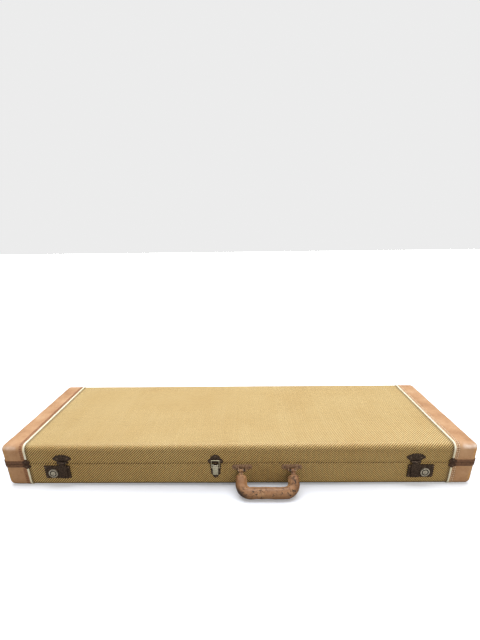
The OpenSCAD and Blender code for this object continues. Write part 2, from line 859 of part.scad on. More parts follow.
// Leather round the strip: two tapered legs, two bends and the grip between them
module handle_grip() {
    straight = grip_half - grip_bend_r;
    leg_end = handle_reach - grip_bend_r;
    color(LEATHER) at_handle() difference() {
        union() {
            translate([0, -handle_reach, 0]) x_cylinder(grip_r, 2 * straight);
            for (x = [-1, 1]) on_side(x) {
                translate([grip_half, -leg_start, 0]) rotate([90, 0, 0])
                    cylinder(r1 = leg_r, r2 = grip_r, h = leg_end - leg_start);
                translate([straight, -leg_end, 0]) rotate([0, 0, -90])
                    rotate_extrude(angle = 90) translate([grip_bend_r, 0]) circle(grip_r);
            }
        }
        core_strip();
    }
}

// ---------------------------------------------------------------- hinges

// One leaf of each hinge: up is 1 for the lid's leaf, which has the middle knuckle, and -1 for the base's
module hinge_leaf(x, up) {
    half = hinge_l / 2;
    pitch = knuckle_l + knuckle_gap;
    places = up > 0 ? [0] : [-pitch, pitch];
    gaps = up > 0 ? [-pitch, pitch] : [0];
    translate([x, 0, part_z]) difference() {
        union() {
            box([-half, cloth_d, up > 0 ? 0 : -leaf_h], [half, cloth_d + leaf_t, up > 0 ? leaf_h : 0]);
            for (p = places) translate([p, 0, 0]) {
                translate([0, hinge_y, 0]) x_cylinder(knuckle_r, knuckle_l);
                box([-knuckle_l / 2, cloth_d, up > 0 ? 0 : -knuckle_r],
                    [knuckle_l / 2, hinge_y, up > 0 ? knuckle_r : 0]);
            }
        }
        for (p = gaps) box([p - knuckle_l / 2 - knuckle_gap, cloth_d - over, -leaf_notch],
            [p + knuckle_l / 2 + knuckle_gap, case_d, leaf_notch]);
        translate([0, hinge_y, 0]) x_cylinder(hinge_bore_r, hinge_l + over);
        for (p = [-12, 12]) translate([p, 0, up * 14])
            y_cylinder(nail_hole_r, cloth_d - over, cloth_d + 2 * leaf_t);
    }
}

module hinge_leaves_base() {
    color(DARK_METAL) for (x = [-hinge_x, 0, hinge_x]) hinge_leaf(x, -1);
}

module hinge_leaves_lid() {
    color(DARK_METAL) for (x = [-hinge_x, 0, hinge_x]) hinge_leaf(x, 1);
}

module hinge_pins() {
    color(NICKEL) for (x = [-hinge_x, 0, hinge_x])
        translate([x, hinge_y, part_z]) x_cylinder(hinge_pin_r, hinge_l + 1.2);
}

module hinge_screws(up) {
    color(NICKEL) for (x = [-hinge_x, 0, hinge_x], p = [-12, 12])
        translate([x + p, cloth_d + leaf_t, part_z + up * 14]) rotate([0, 0, 180]) nail();
}

// ---------------------------------------------------------------- drawing

base_bottom_panel();
base_front_wall();
base_back_wall();
base_end_walls();
cloth(0, rim_base);  // base_cloth
cap(-1, 0, rim_base);  // base_cap_left
cap(1, 0, rim_base);  // base_cap_right
base_piping();
base_rails();
base_nails();
base_floor_pad();
base_wall_lining();
neck_cradle();
corner_pads();
compartment_walls();
compartment_ledge();
compartment_hinge_tape();
compartment_lid();
compartment_pull_tab();
lock_case(-1);  // lock_case_left
lock_case(1);  // lock_case_right
lock_knob(-1);  // lock_knob_left
lock_knob(1);  // lock_knob_right
lock_key_plug(-1);  // lock_key_plug_left
lock_key_plug(1);  // lock_key_plug_right
lock_spring(-1);  // lock_spring_left
lock_spring(1);  // lock_spring_right
handle_plate(-1);  // handle_plate_left
handle_plate(1);  // handle_plate_right
handle_pins();
handle_core();
handle_grip();
latch_base_plate();
latch_pin();
latch_lever();
latch_bail();
latch_catch();
hinge_leaves_base();
hinge_leaves_lid();
hinge_pins();
hinge_screws(-1);  // hinge_screws_base
hinge_screws(1);  // hinge_screws_lid
lid_top_panel();
lid_front_wall();
lid_back_wall();
lid_end_walls();
cloth(rim_lid, case_h);  // lid_cloth
cap(-1, rim_lid, case_h);  // lid_cap_left
cap(1, rim_lid, case_h);  // lid_cap_right
lid_piping();
lid_rails();
lid_nails();
lid_pad();
lid_wall_lining();
hasp_plate(-1);  // hasp_plate_left
hasp_plate(1);  // hasp_plate_right
hasp_pins();
hasp(-1);  // hasp_left
hasp(1);  // hasp_right
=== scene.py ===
"""Looks of the hard guitar case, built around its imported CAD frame.

Sizes are millimetres in the row frame unless a name ends in _m. new_object() turns them into metres.
"""

import json
import math

import bmesh
import bpy
import numpy as np
from mathutils import Matrix, Vector, noise


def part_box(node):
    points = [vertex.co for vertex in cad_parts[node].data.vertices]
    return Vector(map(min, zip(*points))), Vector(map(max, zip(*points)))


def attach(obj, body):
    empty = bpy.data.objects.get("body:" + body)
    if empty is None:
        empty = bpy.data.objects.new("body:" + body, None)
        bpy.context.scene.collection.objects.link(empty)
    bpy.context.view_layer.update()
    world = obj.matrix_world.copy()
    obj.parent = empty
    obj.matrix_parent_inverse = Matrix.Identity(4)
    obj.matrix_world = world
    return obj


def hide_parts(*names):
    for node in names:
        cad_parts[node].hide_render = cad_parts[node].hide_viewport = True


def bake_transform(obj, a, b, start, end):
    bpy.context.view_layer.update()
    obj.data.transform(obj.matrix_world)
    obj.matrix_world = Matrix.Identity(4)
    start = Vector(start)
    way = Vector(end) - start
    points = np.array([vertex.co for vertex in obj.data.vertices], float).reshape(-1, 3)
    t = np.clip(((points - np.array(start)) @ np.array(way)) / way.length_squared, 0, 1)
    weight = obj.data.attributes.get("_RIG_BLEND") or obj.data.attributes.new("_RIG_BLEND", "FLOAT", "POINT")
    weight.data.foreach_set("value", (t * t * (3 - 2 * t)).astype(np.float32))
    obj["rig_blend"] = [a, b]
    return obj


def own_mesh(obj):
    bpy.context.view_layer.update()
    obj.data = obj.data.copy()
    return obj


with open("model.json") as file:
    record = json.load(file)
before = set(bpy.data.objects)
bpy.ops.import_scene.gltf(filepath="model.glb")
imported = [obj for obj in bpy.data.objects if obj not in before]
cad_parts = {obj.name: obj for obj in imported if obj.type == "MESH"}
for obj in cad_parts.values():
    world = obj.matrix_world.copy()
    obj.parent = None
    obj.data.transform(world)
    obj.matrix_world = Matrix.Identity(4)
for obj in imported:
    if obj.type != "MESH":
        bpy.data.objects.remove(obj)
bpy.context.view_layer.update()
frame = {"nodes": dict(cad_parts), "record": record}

MM = 0.001
HALF_L, HALF_D, CASE_H, PART_Z = 528.5, 179.0, 105.0, 59.0
EDGE_R = 14.0  # long edges
END_R = 13.0  # how far the round of the ends reaches inwards
CLOTH_STEP = 0.8  # from the leather's face to the cloth's
WOOD_STEP = 2.0  # from the leather's face to the wood
CLOTH_X, PIPE_X, CAP_X = 473.5, 475.5, 477.1
RIM_GAP = 0.3  # from the parting line to a rim
FOLD = 0.18  # thickness of the covering where it is turned over the rim
LOWEST = 0.02  # no point of a piece lies lower
HANDLE = (65.0, -188.2, 46.0)  # middle of the handle's axis
GRIP_REACH = 49.0  # from the handle's axis to the middle of the grip
GRIP_RADIUS = 12.5
GRIP_GAP = 0.4  # from the grip down to the floor
HANDLE_DROOP = math.asin((HANDLE[2] - GRIP_RADIUS - GRIP_GAP) / GRIP_REACH)
SEAM_TURN = 1.5 * math.pi  # round the grip's section from its top: the seam is on the inner side
BURNT_TURN = 0.5 * math.pi - 0.5  # the scorched patch is on the outer side, turned towards the top
WEAVE_PITCH = 1.38
LOCK_X, LOCK_Z, KNOB_FRONT = 415.5, 38.5, -186.7
FLOOR_GLOW = 0.42  # at GLOW_REACH from the case's middle, rising with distance
GLOW_REACH = 600
HALF_NAME = {-1: "base", 1: "lid"}
END_NAME = {-1: "left", 1: "right"}

BODY_OF = {
    node: body
    for body, members in frame["record"]["behaviour"]["bodies"].items()
    for node in members
}


# ---------------------------------------------------------------- materials


def tint(red, green, blue):
    """Linear colour of a display colour."""
    parts = []
    for c in (red, green, blue):
        c /= 255
        parts.append(c / 12.92 if c <= 0.04045 else ((c + 0.055) / 1.055) ** 2.4)
    return (*parts, 1.0)


class Paint:
    """One procedural material. Its scales are per millimetre."""

    def __init__(self, name, **sockets):
        self.material = bpy.data.materials.new(name)
        self.material.use_nodes = True
        self.tree = self.material.node_tree
        self.shader = self.tree.nodes["Principled BSDF"]
        for key, value in sockets.items():
            self.shader.inputs[key.replace("_", " ")].default_value = value
        place = self.node("ShaderNodeTexCoord").outputs["Object"]
        self.place = self.vector("SCALE", place, scale=1 / MM)

    def node(self, kind, **settings):
        made = self.tree.nodes.new(kind)
        for key, value in settings.items():
            setattr(made, key, value)
        return made

    def feed(self, socket, value):
        if isinstance(value, bpy.types.NodeSocket):
            self.tree.links.new(value, socket)
        else:
            socket.default_value = value

    def vector(self, operation, a, b=None, scale=None):
        made = self.node("ShaderNodeVectorMath", operation=operation)
        self.feed(made.inputs[0], a)
        if b is not None:
            self.feed(made.inputs[1], b)
        if scale is not None:
            self.feed(made.inputs["Scale"], scale)
        return made.outputs[0]

    def calc(self, operation, a, b=0.0, clamp=False):
        made = self.node("ShaderNodeMath", operation=operation, use_clamp=clamp)
        self.feed(made.inputs[0], a)
        self.feed(made.inputs[1], b)
        return made.outputs[0]

    def times(self, a, b, clamp=False):
        return self.calc("MULTIPLY", a, b, clamp)

    def noise(self, scale, detail=3.0, roughness=0.55, vector=None, distortion=0.0):
        made = self.node("ShaderNodeTexNoise")
        self.feed(made.inputs["Vector"], self.place if vector is None else vector)
        made.inputs["Scale"].default_value = scale
        made.inputs["Detail"].default_value = detail
        made.inputs["Roughness"].default_value = roughness
        made.inputs["Distortion"].default_value = distortion
        return made.outputs[0]

    def cells(self, scale, feature="F1", vector=None):
        made = self.node("ShaderNodeTexVoronoi", feature=feature)
        self.feed(made.inputs["Vector"], self.place if vector is None else vector)
        made.inputs["Scale"].default_value = scale
        return made.outputs["Distance"]

    def bent(self, scale, amount):
        """Place, shifted about by noise."""
        made = self.node("ShaderNodeTexNoise")
        self.feed(made.inputs["Vector"], self.place)
        made.inputs["Scale"].default_value = scale
        shift = self.vector("SUBTRACT", made.outputs["Color"], (0.5, 0.5, 0.5))
        return self.vector("ADD", self.place, self.vector("SCALE", shift, scale=amount))

    def ramp(self, value, *stops):
        made = self.node("ShaderNodeValToRGB")
        elements = made.color_ramp.elements
        while len(elements) < len(stops):
            elements.new(0.5)
        for element, (position, colour) in zip(elements, stops):
            element.position = position
            if not isinstance(colour, tuple):
                colour = (colour, colour, colour, 1)
            element.color = colour
        self.feed(made.inputs[0], value)
        return made.outputs[0]

    def mix(self, share, a, b, blend="MIX"):
        made = self.node("ShaderNodeMix", data_type="RGBA", blend_type=blend)
        self.feed(made.inputs[0], share)
        self.feed(made.inputs[6], a)
        self.feed(made.inputs[7], b)
        return made.outputs[2]

    def attribute(self, name, output="Fac"):
        return self.node("ShaderNodeAttribute", attribute_name=name).outputs[output]

    def bump(self, height, depth, normal=None, strength=1.0):
        """Relief of that depth in millimetres."""
        made = self.node("ShaderNodeBump")
        made.inputs["Strength"].default_value = strength
        made.inputs["Distance"].default_value = depth * MM
        self.feed(made.inputs["Height"], height)
        if normal is not None:
            self.feed(made.inputs["Normal"], normal)
        return made.outputs[0]

    def finish(self, colour, roughness=None, normal=None, **links):
        self.feed(self.shader.inputs["Base Color"], colour)
        if roughness is not None:
            self.feed(self.shader.inputs["Roughness"], roughness)
        if normal is not None:
            self.feed(self.shader.inputs["Normal"], normal)
        for key, value in links.items():
            self.feed(self.shader.inputs[key], value)
        return self.material


def tweed_paint():
    """Two-up, two-down twill of straw and brown yarn under old lacquer. Painted shade darkens its grooves,
    its walls, its lowest part, the parting line and a thin line by the piping.
    """
    p = Paint("tweed_cloth", Coat_Weight=0.12, Coat_Roughness=0.45)
    flat = p.node("ShaderNodeSeparateXYZ")
    p.feed(flat.inputs[0], p.attribute("weave", "Vector"))
    wander = p.times(p.calc("SUBTRACT", p.noise(0.012, 1), 0.5), 1.4)
    across = p.calc("ADD", p.times(flat.outputs[0], 1 / WEAVE_PITCH), wander)
    along = p.calc("ADD", p.times(flat.outputs[1], 1 / WEAVE_PITCH), wander)
    warp, weft = p.calc("FLOOR", across), p.calc("FLOOR", along)
    turn = p.calc("FLOORED_MODULO", p.calc("SUBTRACT", warp, weft), 4)
    on_top = p.calc("LESS_THAN", turn, 2)
    warp_round = p.calc("SINE", p.times(p.calc("FRACT", across), math.pi))
    weft_round = p.calc("SINE", p.times(p.calc("FRACT", along), math.pi))
    height = p.mix(on_top, p.times(weft_round, 0.8), warp_round)
    yarns = []
    # On the walls (side near 1) the brown yarn is painted much darker than on the top: painted shade on the
    # walls, painted sheen on the top.
    side = p.attribute("side")
    brown = [p.mix(side, tint(134, 100, 56), tint(42, 22, 7)),
             p.mix(side, tint(172, 136, 82), tint(70, 44, 17))]
    for index, low, high in ((warp, tint(222, 195, 130), tint(238, 218, 161)), (weft, *brown)):
        tone = p.node("ShaderNodeTexWhiteNoise", noise_dimensions="1D")
        p.feed(tone.inputs["W"], index)
        fleck = p.calc("ADD", p.times(tone.outputs["Value"], 0.35),
                       p.times(p.noise(0.9, 3), 0.6))
        yarns.append(p.mix(fleck, low, high))
    colour = p.mix(on_top, yarns[1], yarns[0])
    # Painted shade: the yarn is darker down in the grooves of the weave.
    colour = p.mix(0.35, colour, p.ramp(height, (0.0, 0.5), (0.5, 1.0)), "MULTIPLY")
    age = p.ramp(p.noise(0.008, 5, 0.6), (0.35, tint(238, 226, 202)), (0.62, tint(255, 255, 252)))
    colour = p.mix(0.4, colour, age, "MULTIPLY")
    stain = p.ramp(p.noise(0.03, 6, 0.65), (0.64, 0.0), (0.82, 1.0))
    colour = p.mix(p.times(stain, 0.2), colour, tint(168, 130, 76))
    # grime carries real dirt and also painted shade low on the walls and along the parting line; this darkens
    # both.
    grime = p.attribute("grime")
    dirt_and_shade = p.times(grime, p.ramp(p.noise(0.06, 5, 0.7), (0.3, 0.15), (0.7, 1.0)))
    # Painted shade on the walls: their colour is also made warmer.
    colour = p.mix(side, colour, p.mix(1.0, colour, (1.1, 0.98, 0.77, 1), "MULTIPLY"))
    colour = p.mix(p.times(dirt_and_shade, 0.8), colour, tint(84, 54, 24))
    # Painted shadow: under the case and in a thin line beside the piping.
    colour = p.mix(p.attribute("under"), colour, tint(30, 19, 9))
    return p.finish(colour, 0.6, p.bump(height, 0.25))


def leather_paint(name, dark, base, light, wear, crack_depth=0.0, coat=0.1):
    """Old cow hide: grain, creases, scuffs, worn places where the mesh's worn attribute is high, a painted
    highlight band and a painted shadow at the bottom.
    """
    p = Paint(name, Coat_Weight=coat, Coat_Roughness=0.35, Specular_IOR_Level=0.45)
    broad = p.noise(0.02, 5, 0.6)
    colour = p.ramp(broad, (0.32, dark), (0.52, base), (0.7, light))
    mottle = p.ramp(p.noise(0.22, 6, 0.65), (0.4, 0.0), (0.72, 1.0))
    colour = p.mix(p.times(mottle, 0.35), colour, light)
    soil = p.ramp(p.noise(0.09, 6, 0.7, distortion=0.6), (0.54, 0.0), (0.74, 1.0))
    colour = p.mix(p.times(soil, 0.45), colour, dark)
    bend = p.bent(0.12, 3.0)
    crease = p.ramp(p.cells(0.16, "DISTANCE_TO_EDGE", bend), (0.0, 1.0), (0.05, 0.0))
    creased = p.times(crease, p.ramp(p.noise(0.05, 3), (0.48, 0.0), (0.62, 1.0)))
    colour = p.mix(p.times(creased, 0.55), colour, dark)
    grain = p.cells(0.85, "SMOOTH_F1", p.bent(0.6, 0.5))
    colour = p.mix(0.25, colour, p.ramp(grain, (0.0, 1.0), (0.75, 0.62)), "MULTIPLY")
    worn = p.times(p.attribute("worn"), p.ramp(p.noise(0.16, 5, 0.65), (0.34, 0.2), (0.6, 1.0)))
    colour = p.mix(p.times(worn, 0.85, clamp=True), colour, wear)
    pricked = p.ramp(p.noise(0.42, 4, 0.7), (0.42, 0.35), (0.56, 1.0))
    colour = p.mix(p.times(p.attribute("seam"), pricked), colour, tint(136, 90, 60))
    # Painted highlight: a near-white band where the mesh marks it, along the caps' top front edge.
    painted_highlight = p.times(p.attribute("painted_highlight"), p.ramp(p.noise(0.1, 4), (0.3, 0.35), (0.6, 1.0)))
    colour = p.mix(p.times(painted_highlight, 0.9), colour, tint(250, 234, 222))
    # Painted shadow where the mesh's under attribute is high, at the bottom.
    colour = p.mix(p.attribute("under"), colour, tint(40, 26, 16))
    normal = p.bump(grain, -0.10)
    normal = p.bump(creased, -0.22, normal)
    normal = p.bump(p.noise(0.22, 6, 0.6), 0.35, normal)
    if crack_depth:
        reach = p.ramp(p.noise(0.04, 3), (0.42, 0.0), (0.50, 1.0))
        chips = p.ramp(p.noise(0.15, 4, 0.6, p.bent(0.3, 4.0)), (0.57, 0.0), (0.60, 1.0))
        lines = p.ramp(p.cells(0.09, "DISTANCE_TO_EDGE", p.bent(0.3, 7.0)), (0.0, 1.0), (0.035, 0.0))
        split = p.times(p.calc("MAXIMUM", chips, lines), reach)
        black = p.calc("MAXIMUM", split, p.attribute("burnt"))
        colour = p.mix(p.times(black, 0.9), colour, tint(34, 22, 16))
        normal = p.bump(split, -crack_depth, normal)
    roughness = p.ramp(p.noise(0.12, 5), (0.3, 0.42), (0.7, 0.62))
    return p.finish(colour, roughness, normal)


def metal_paint(name, dark, base, bare, roughness=(0.34, 0.6), metallic=0.75, rust=None):
    """Aged metal: patches of tarnish, and bare metal on the edges that refine() marked."""
    p = Paint(name, Metallic=metallic)
    patch = p.noise(0.25, 6, 0.65)
    colour = p.ramp(patch, (0.34, dark), (0.62, base))
    rub = p.times(p.attribute("edge"), p.ramp(p.noise(0.45, 4), (0.38, 0.0), (0.62, 1.0)))
    spots = p.ramp(p.noise(0.8, 5, 0.7), (0.62, 0.0), (0.74, 1.0))
    bared = p.calc("MAXIMUM", p.times(rub, 0.75), p.times(spots, 0.3))
    colour = p.mix(bared, colour, bare)
    if rust:
        bloom = p.ramp(p.noise(0.13, 6, 0.7), (0.56, 0.0), (0.72, 1.0))
        colour = p.mix(p.times(bloom, 0.5), colour, rust)
    # Painted shade: dark where the deep attribute marks a recess.
    colour = p.mix(p.attribute("deep"), colour, tint(34, 27, 22))
    rough = p.ramp(patch, (0.3, roughness[0]), (0.7, roughness[1]))
    normal = p.bump(p.noise(0.9, 4, 0.6), 0.05)
    return p.finish(colour, rough, p.bump(patch, 0.12, normal))


def piping_paint():
    """Cream plastic bead, grimy in spots, faintly ribbed along its length."""
    p = Paint("piping_bead", Coat_Weight=0.2, Coat_Roughness=0.3, Subsurface_Weight=0.05)
    colour = p.ramp(p.noise(0.05, 5, 0.6), (0.35, tint(246, 236, 204)), (0.6, tint(255, 251, 232)))
    grime = p.ramp(p.noise(0.4, 5, 0.7), (0.55, 0.0), (0.75, 1.0))
    colour = p.mix(p.times(grime, 0.3), colour, tint(186, 152, 104))
    ribs = p.calc("SINE", p.times(p.attribute("run"), 2.6))
    return p.finish(colour, p.ramp(p.noise(0.3, 3), (0.3, 0.35), (0.7, 0.55)), p.bump(ribs, 0.04))


def plush_paint():
    """Short pile, brushed light and dark in patches."""
    p = Paint("plush_pile", Roughness=0.95, Sheen_Weight=0.5, Sheen_Roughness=0.35,
              Sheen_Tint=tint(232, 120, 110), Specular_IOR_Level=0.2)
    brushed = p.noise(0.035, 5, 0.6, p.bent(0.02, 12.0))
    colour = p.ramp(brushed, (0.34, tint(86, 14, 20)), (0.52, tint(122, 26, 30)), (0.68, tint(150, 42, 42)))
    pile = p.noise(1.5, 3, 0.7)
    colour = p.mix(0.5, colour, p.ramp(pile, (0.3, 0.55), (0.65, 1.0)), "MULTIPLY")
    normal = p.bump(pile, 0.5)
    return p.finish(colour, None, p.bump(brushed, 0.6, normal))


def plywood_paint():
    p = Paint("plywood_sheet", Specular_IOR_Level=0.3)
    flat = p.node("ShaderNodeSeparateXYZ")
    p.feed(flat.inputs[0], p.place)
    long_grain = p.node("ShaderNodeCombineXYZ")
    p.feed(long_grain.inputs[0], p.times(flat.outputs[0], 0.06))
    p.feed(long_grain.inputs[1], flat.outputs[1])
    p.feed(long_grain.inputs[2], flat.outputs[2])
    streak = p.noise(0.5, 5, 0.6, long_grain.outputs[0])
    colour = p.ramp(streak, (0.3, tint(150, 106, 62)), (0.6, tint(204, 164, 112)))
    plies = p.calc("SINE", p.times(flat.outputs[2], 3.6))
    layers = p.ramp(plies, (0.0, tint(176, 128, 82)), (1.0, tint(255, 246, 226)))
    colour = p.mix(0.3, colour, layers, "MULTIPLY")
    return p.finish(colour, 0.7, p.bump(streak, 0.1))


def thread_paint(name, low, high):
    p = Paint(name, Roughness=0.8)
    twist = p.noise(1.2, 3)
    return p.finish(p.ramp(twist, (0.35, low), (0.65, high)), None, p.bump(p.noise(2.5, 2), 0.1))


def floor_paint():
    """Pale floor. What bounces off it is darker than what the camera sees, as on a small lit table."""
    p = Paint("pale_floor", Roughness=0.9, Specular_IOR_Level=0.0)
    p.finish(p.ramp(p.noise(0.002, 3), (0.3, (0.77, 0.82, 0.92, 1)), (0.7, (0.79, 0.84, 0.94, 1))))
    out = p.tree.nodes["Material Output"]
    away = p.node("ShaderNodeVectorMath", operation="LENGTH")
    p.feed(away.inputs[0], p.place)
    glow = p.node("ShaderNodeEmission")
    p.feed(glow.inputs["Strength"], p.times(away.outputs["Value"], FLOOR_GLOW / GLOW_REACH))
    both = p.node("ShaderNodeAddShader")
    p.tree.links.new(p.shader.outputs[0], both.inputs[0])
    p.tree.links.new(glow.outputs[0], both.inputs[1])
    dim = p.node("ShaderNodeBsdfDiffuse")
    dim.inputs["Color"].default_value = (0.34, 0.33, 0.31, 1)
    seen = p.node("ShaderNodeLightPath").outputs["Is Camera Ray"]
    choose = p.node("ShaderNodeMixShader")
    p.tree.links.new(seen, choose.inputs[0])
    p.tree.links.new(dim.outputs[0], choose.inputs[1])
    p.tree.links.new(both.outputs[0], choose.inputs[2])
    p.tree.links.new(choose.outputs[0], out.inputs["Surface"])
    return p.material


TWEED = tweed_paint()
LEATHER = leather_paint("cap_leather", tint(174, 127, 88), tint(197, 152, 111), tint(212, 173, 134),
                        tint(224, 164, 44))
HANDLE_LEATHER = leather_paint("grip_leather", tint(112, 72, 44), tint(156, 112, 74), tint(188, 146, 104),
                               tint(226, 182, 132), crack_depth=0.6, coat=0.2)
PIPING = piping_paint()
DARK = metal_paint("oxidised_plate", tint(18, 12, 9), tint(37, 27, 22), tint(118, 100, 86),
                   rust=tint(52, 30, 20))
RAIL = metal_paint("rail_paint", tint(92, 62, 44), tint(132, 96, 70), tint(190, 160, 130),
                   roughness=(0.4, 0.65), metallic=0.25)
LOBE = metal_paint("lobe_paint", tint(50, 34, 26), tint(92, 66, 50), tint(168, 140, 112),
                   roughness=(0.4, 0.65), metallic=0.4, rust=tint(84, 50, 32))
NICKEL = metal_paint("old_nickel", tint(150, 144, 118), tint(206, 202, 176), tint(240, 238, 222),
                     roughness=(0.22, 0.45), metallic=0.9)
KNOB = metal_paint("knob_nickel", tint(136, 126, 108), tint(216, 208, 188), tint(244, 240, 228),
                   roughness=(0.25, 0.5), metallic=0.9)
NAIL = metal_paint("nail_head", tint(78, 64, 52), tint(132, 114, 98), tint(176, 158, 138),
                   roughness=(0.4, 0.6), metallic=0.7)
STEEL = metal_paint("plain_steel", tint(110, 108, 104), tint(150, 148, 144), tint(190, 188, 184))
PLUSH = plush_paint()
PLYWOOD = plywood_paint()
LIGHT_THREAD = thread_paint("light_thread", tint(230, 202, 164), tint(252, 236, 208))
DARK_THREAD = thread_paint("dark_thread", tint(120, 78, 50), tint(160, 112, 78))


# ---------------------------------------------------------------- mesh helpers


def new_object(name, verts, faces, body, paint, replaces=(), smooth=40, data=None, waves=()):
    """A mesh piece that rides on a body. data holds its point attributes, and waves are (amount, size) bumps,
    which act where the attribute "free" is above 0."""
    mesh = bpy.data.meshes.new(name)
    verts = np.array(verts, float)
    verts[:, 2] = np.maximum(verts[:, 2], LOWEST)
    mesh.from_pydata((verts * MM).tolist(), [], [[int(i) for i in f] for f in faces])
    for key, values in (data or {}).items():
        values = np.asarray(values, np.float32)
        single = values.ndim == 1
        layer = mesh.attributes.new(key, "FLOAT" if single else "FLOAT_VECTOR", "POINT")
        layer.data.foreach_set("value" if single else "vector", values.ravel())
    work = bmesh.new()
    work.from_mesh(mesh)
    bmesh.ops.recalc_face_normals(work, faces=work.faces[:])
    work.normal_update()
    if waves:
        free = work.verts.layers.float["free"]
        shifts = []
        for v in work.verts:
            push = sum(a * noise.noise(v.co / (size * MM)) for a, size in waves)
            shifts.append(v.normal * (push * v[free] * MM))
        for v, shift in zip(work.verts, shifts):
            v.co += shift
            v.co.z = max(v.co.z, LOWEST * MM)
    work.to_mesh(mesh)
    work.free()
    return place_mesh(name, mesh, body, paint, replaces, smooth)


def place_mesh(name, mesh, body, paint, replaces=(), smooth=40):
    mesh.polygons.foreach_set("use_smooth", [True] * len(mesh.polygons))
    mesh.set_sharp_from_angle(angle=math.radians(smooth))
    obj = bpy.data.objects.new(name, mesh)
    bpy.context.scene.collection.objects.link(obj)
    mesh.materials.clear()
    mesh.materials.append(paint)
    if body:
        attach(obj, body)
    if replaces:
        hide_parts(*replaces)
    return obj


def grid_faces(rows, columns, wrap=False, start=0):
    faces = []
    for r in range(rows - 1):
        for c in range(columns if wrap else columns - 1):
            a, b = start + r * columns + c, start + r * columns + (c + 1) % columns
            faces.append([a, b, b + columns, a + columns])
    return faces


def closing_faces(rows, columns):
    """Quads from the last row of a wrapped grid back to its first."""
    last = (rows - 1) * columns
    return [[last + c, last + (c + 1) % columns, (c + 1) % columns, c] for c in range(columns)]


def end_faces(total, count):
    """The two flat ends of a tube of total points, count to a ring."""
    return [list(range(count)), list(range(total - count, total))]


def outer_only(values):
    """A shell's attribute that is 0 on its inner face."""
    return np.concatenate([values, np.zeros(len(values))])


def weld(points, faces, *others):
    """Joins points that are in the same place. The other arrays keep the first of each."""
    _, first, back = np.unique(np.round(points, 3), axis=0, return_index=True, return_inverse=True)
    back = back.ravel()
    kept = []
    for f in faces:
        g = [int(back[i]) for i in f]
        g = [a for a, b in zip(g, g[1:] + g[:1]) if a != b]
        if len(g) > 2:
            kept.append(g)
    return (points[first], kept, *[o[first] for o in others])


def shell(outer, inner, faces):
    """Closed body between an open surface and its inner copy."""
    n = len(outer)
    used = {(a, b) for f in faces for a, b in zip(f, f[1:] + f[:1])}
    rim = [(a, b) for a, b in used if (b, a) not in used]
    back = [[i + n for i in reversed(f)] for f in faces]
    sides = [[b, a, a + n, b + n] for a, b in sorted(rim)]
    return np.vstack([outer, inner]), faces + back + sides


def sweep(path, up, sections, closed=False):
    """Tube along a path. sections[i] holds the offsets (along up, along the side) at point i."""
    path = np.asarray(path, float)
    ups = np.broadcast_to(np.asarray(up, float), path.shape)
    if closed:
        tangent = np.roll(path, -1, 0) - np.roll(path, 1, 0)
    else:
        tangent = np.gradient(path, axis=0)
    tangent /= np.linalg.norm(tangent, axis=1)[:, None]
    side = np.cross(tangent, ups)
    side /= np.linalg.norm(side, axis=1)[:, None]
    lift = np.cross(side, tangent)
    rings = [path[i] + np.outer(s[:, 0], lift[i]) + np.outer(s[:, 1], side[i])
             for i, s in enumerate(sections)]
    count = len(sections[0])
    verts = np.vstack(rings)
    faces = grid_faces(len(path), count, wrap=True)
    if closed:
        faces += closing_faces(len(path), count)
    else:
        faces += end_faces(len(verts), count)
    return verts, faces


def join(parts):
    """Several (verts, faces) as one."""
    verts, faces, start = [], [], 0
    for v, f in parts:
        verts.append(np.asarray(v, float))
        faces += [[i + start for i in face] for face in f]
        start += len(v)
    return np.vstack(verts), faces


def run_length(points):
    steps = np.linalg.norm(np.diff(np.asarray(points, float), axis=0), axis=1)
    return np.concatenate([[0], np.cumsum(steps)])


def ease(value, low, high):
    t = np.clip((np.asarray(value, float) - low) / (high - low), 0, 1)
    return t * t * (3 - 2 * t)


def refine(node, paint, width=0.35, angle=28, segments=2, deep=None):
    """The CAD node's shape, its edges broken and marked for wear. deep(x, y, z) marks what is sunk, which the
    metal paint fills with painted shade.
    """
    work = bmesh.new()
    work.from_mesh(frame["nodes"][node].data)
    bmesh.ops.remove_doubles(work, verts=work.verts[:], dist=2e-6)
    bmesh.ops.dissolve_limit(work, angle_limit=math.radians(0.6), verts=work.verts[:], edges=work.edges[:])
    sharp = [e for e in work.edges
             if len(e.link_faces) == 2 and e.calc_face_angle(0.0) > math.radians(angle)]
    made = bmesh.ops.bevel(work, geom=sharp, offset=width * MM, segments=segments, profile=0.5,
                           affect="EDGES", clamp_overlap=True)
    layer = work.verts.layers.float.new("edge")
    for f in made["faces"]:
        for v in f.verts:
            v[layer] = 1.0
    if deep:
        sunk = work.verts.layers.float.new("deep")
        for v in work.verts:
            v[sunk] = float(deep(*(v.co / MM)))
    bmesh.ops.triangulate(work, faces=[f for f in work.faces if len(f.verts) > 4])
    bmesh.ops.dissolve_degenerate(work, edges=work.edges[:], dist=1e-7)
    bmesh.ops.recalc_face_normals(work, faces=work.faces[:])
    mesh = bpy.data.meshes.new(node + "_shape")
    work.to_mesh(mesh)
    work.free()
    return place_mesh(node + "_shape", mesh, BODY_OF[node], paint, (node,), smooth=32)


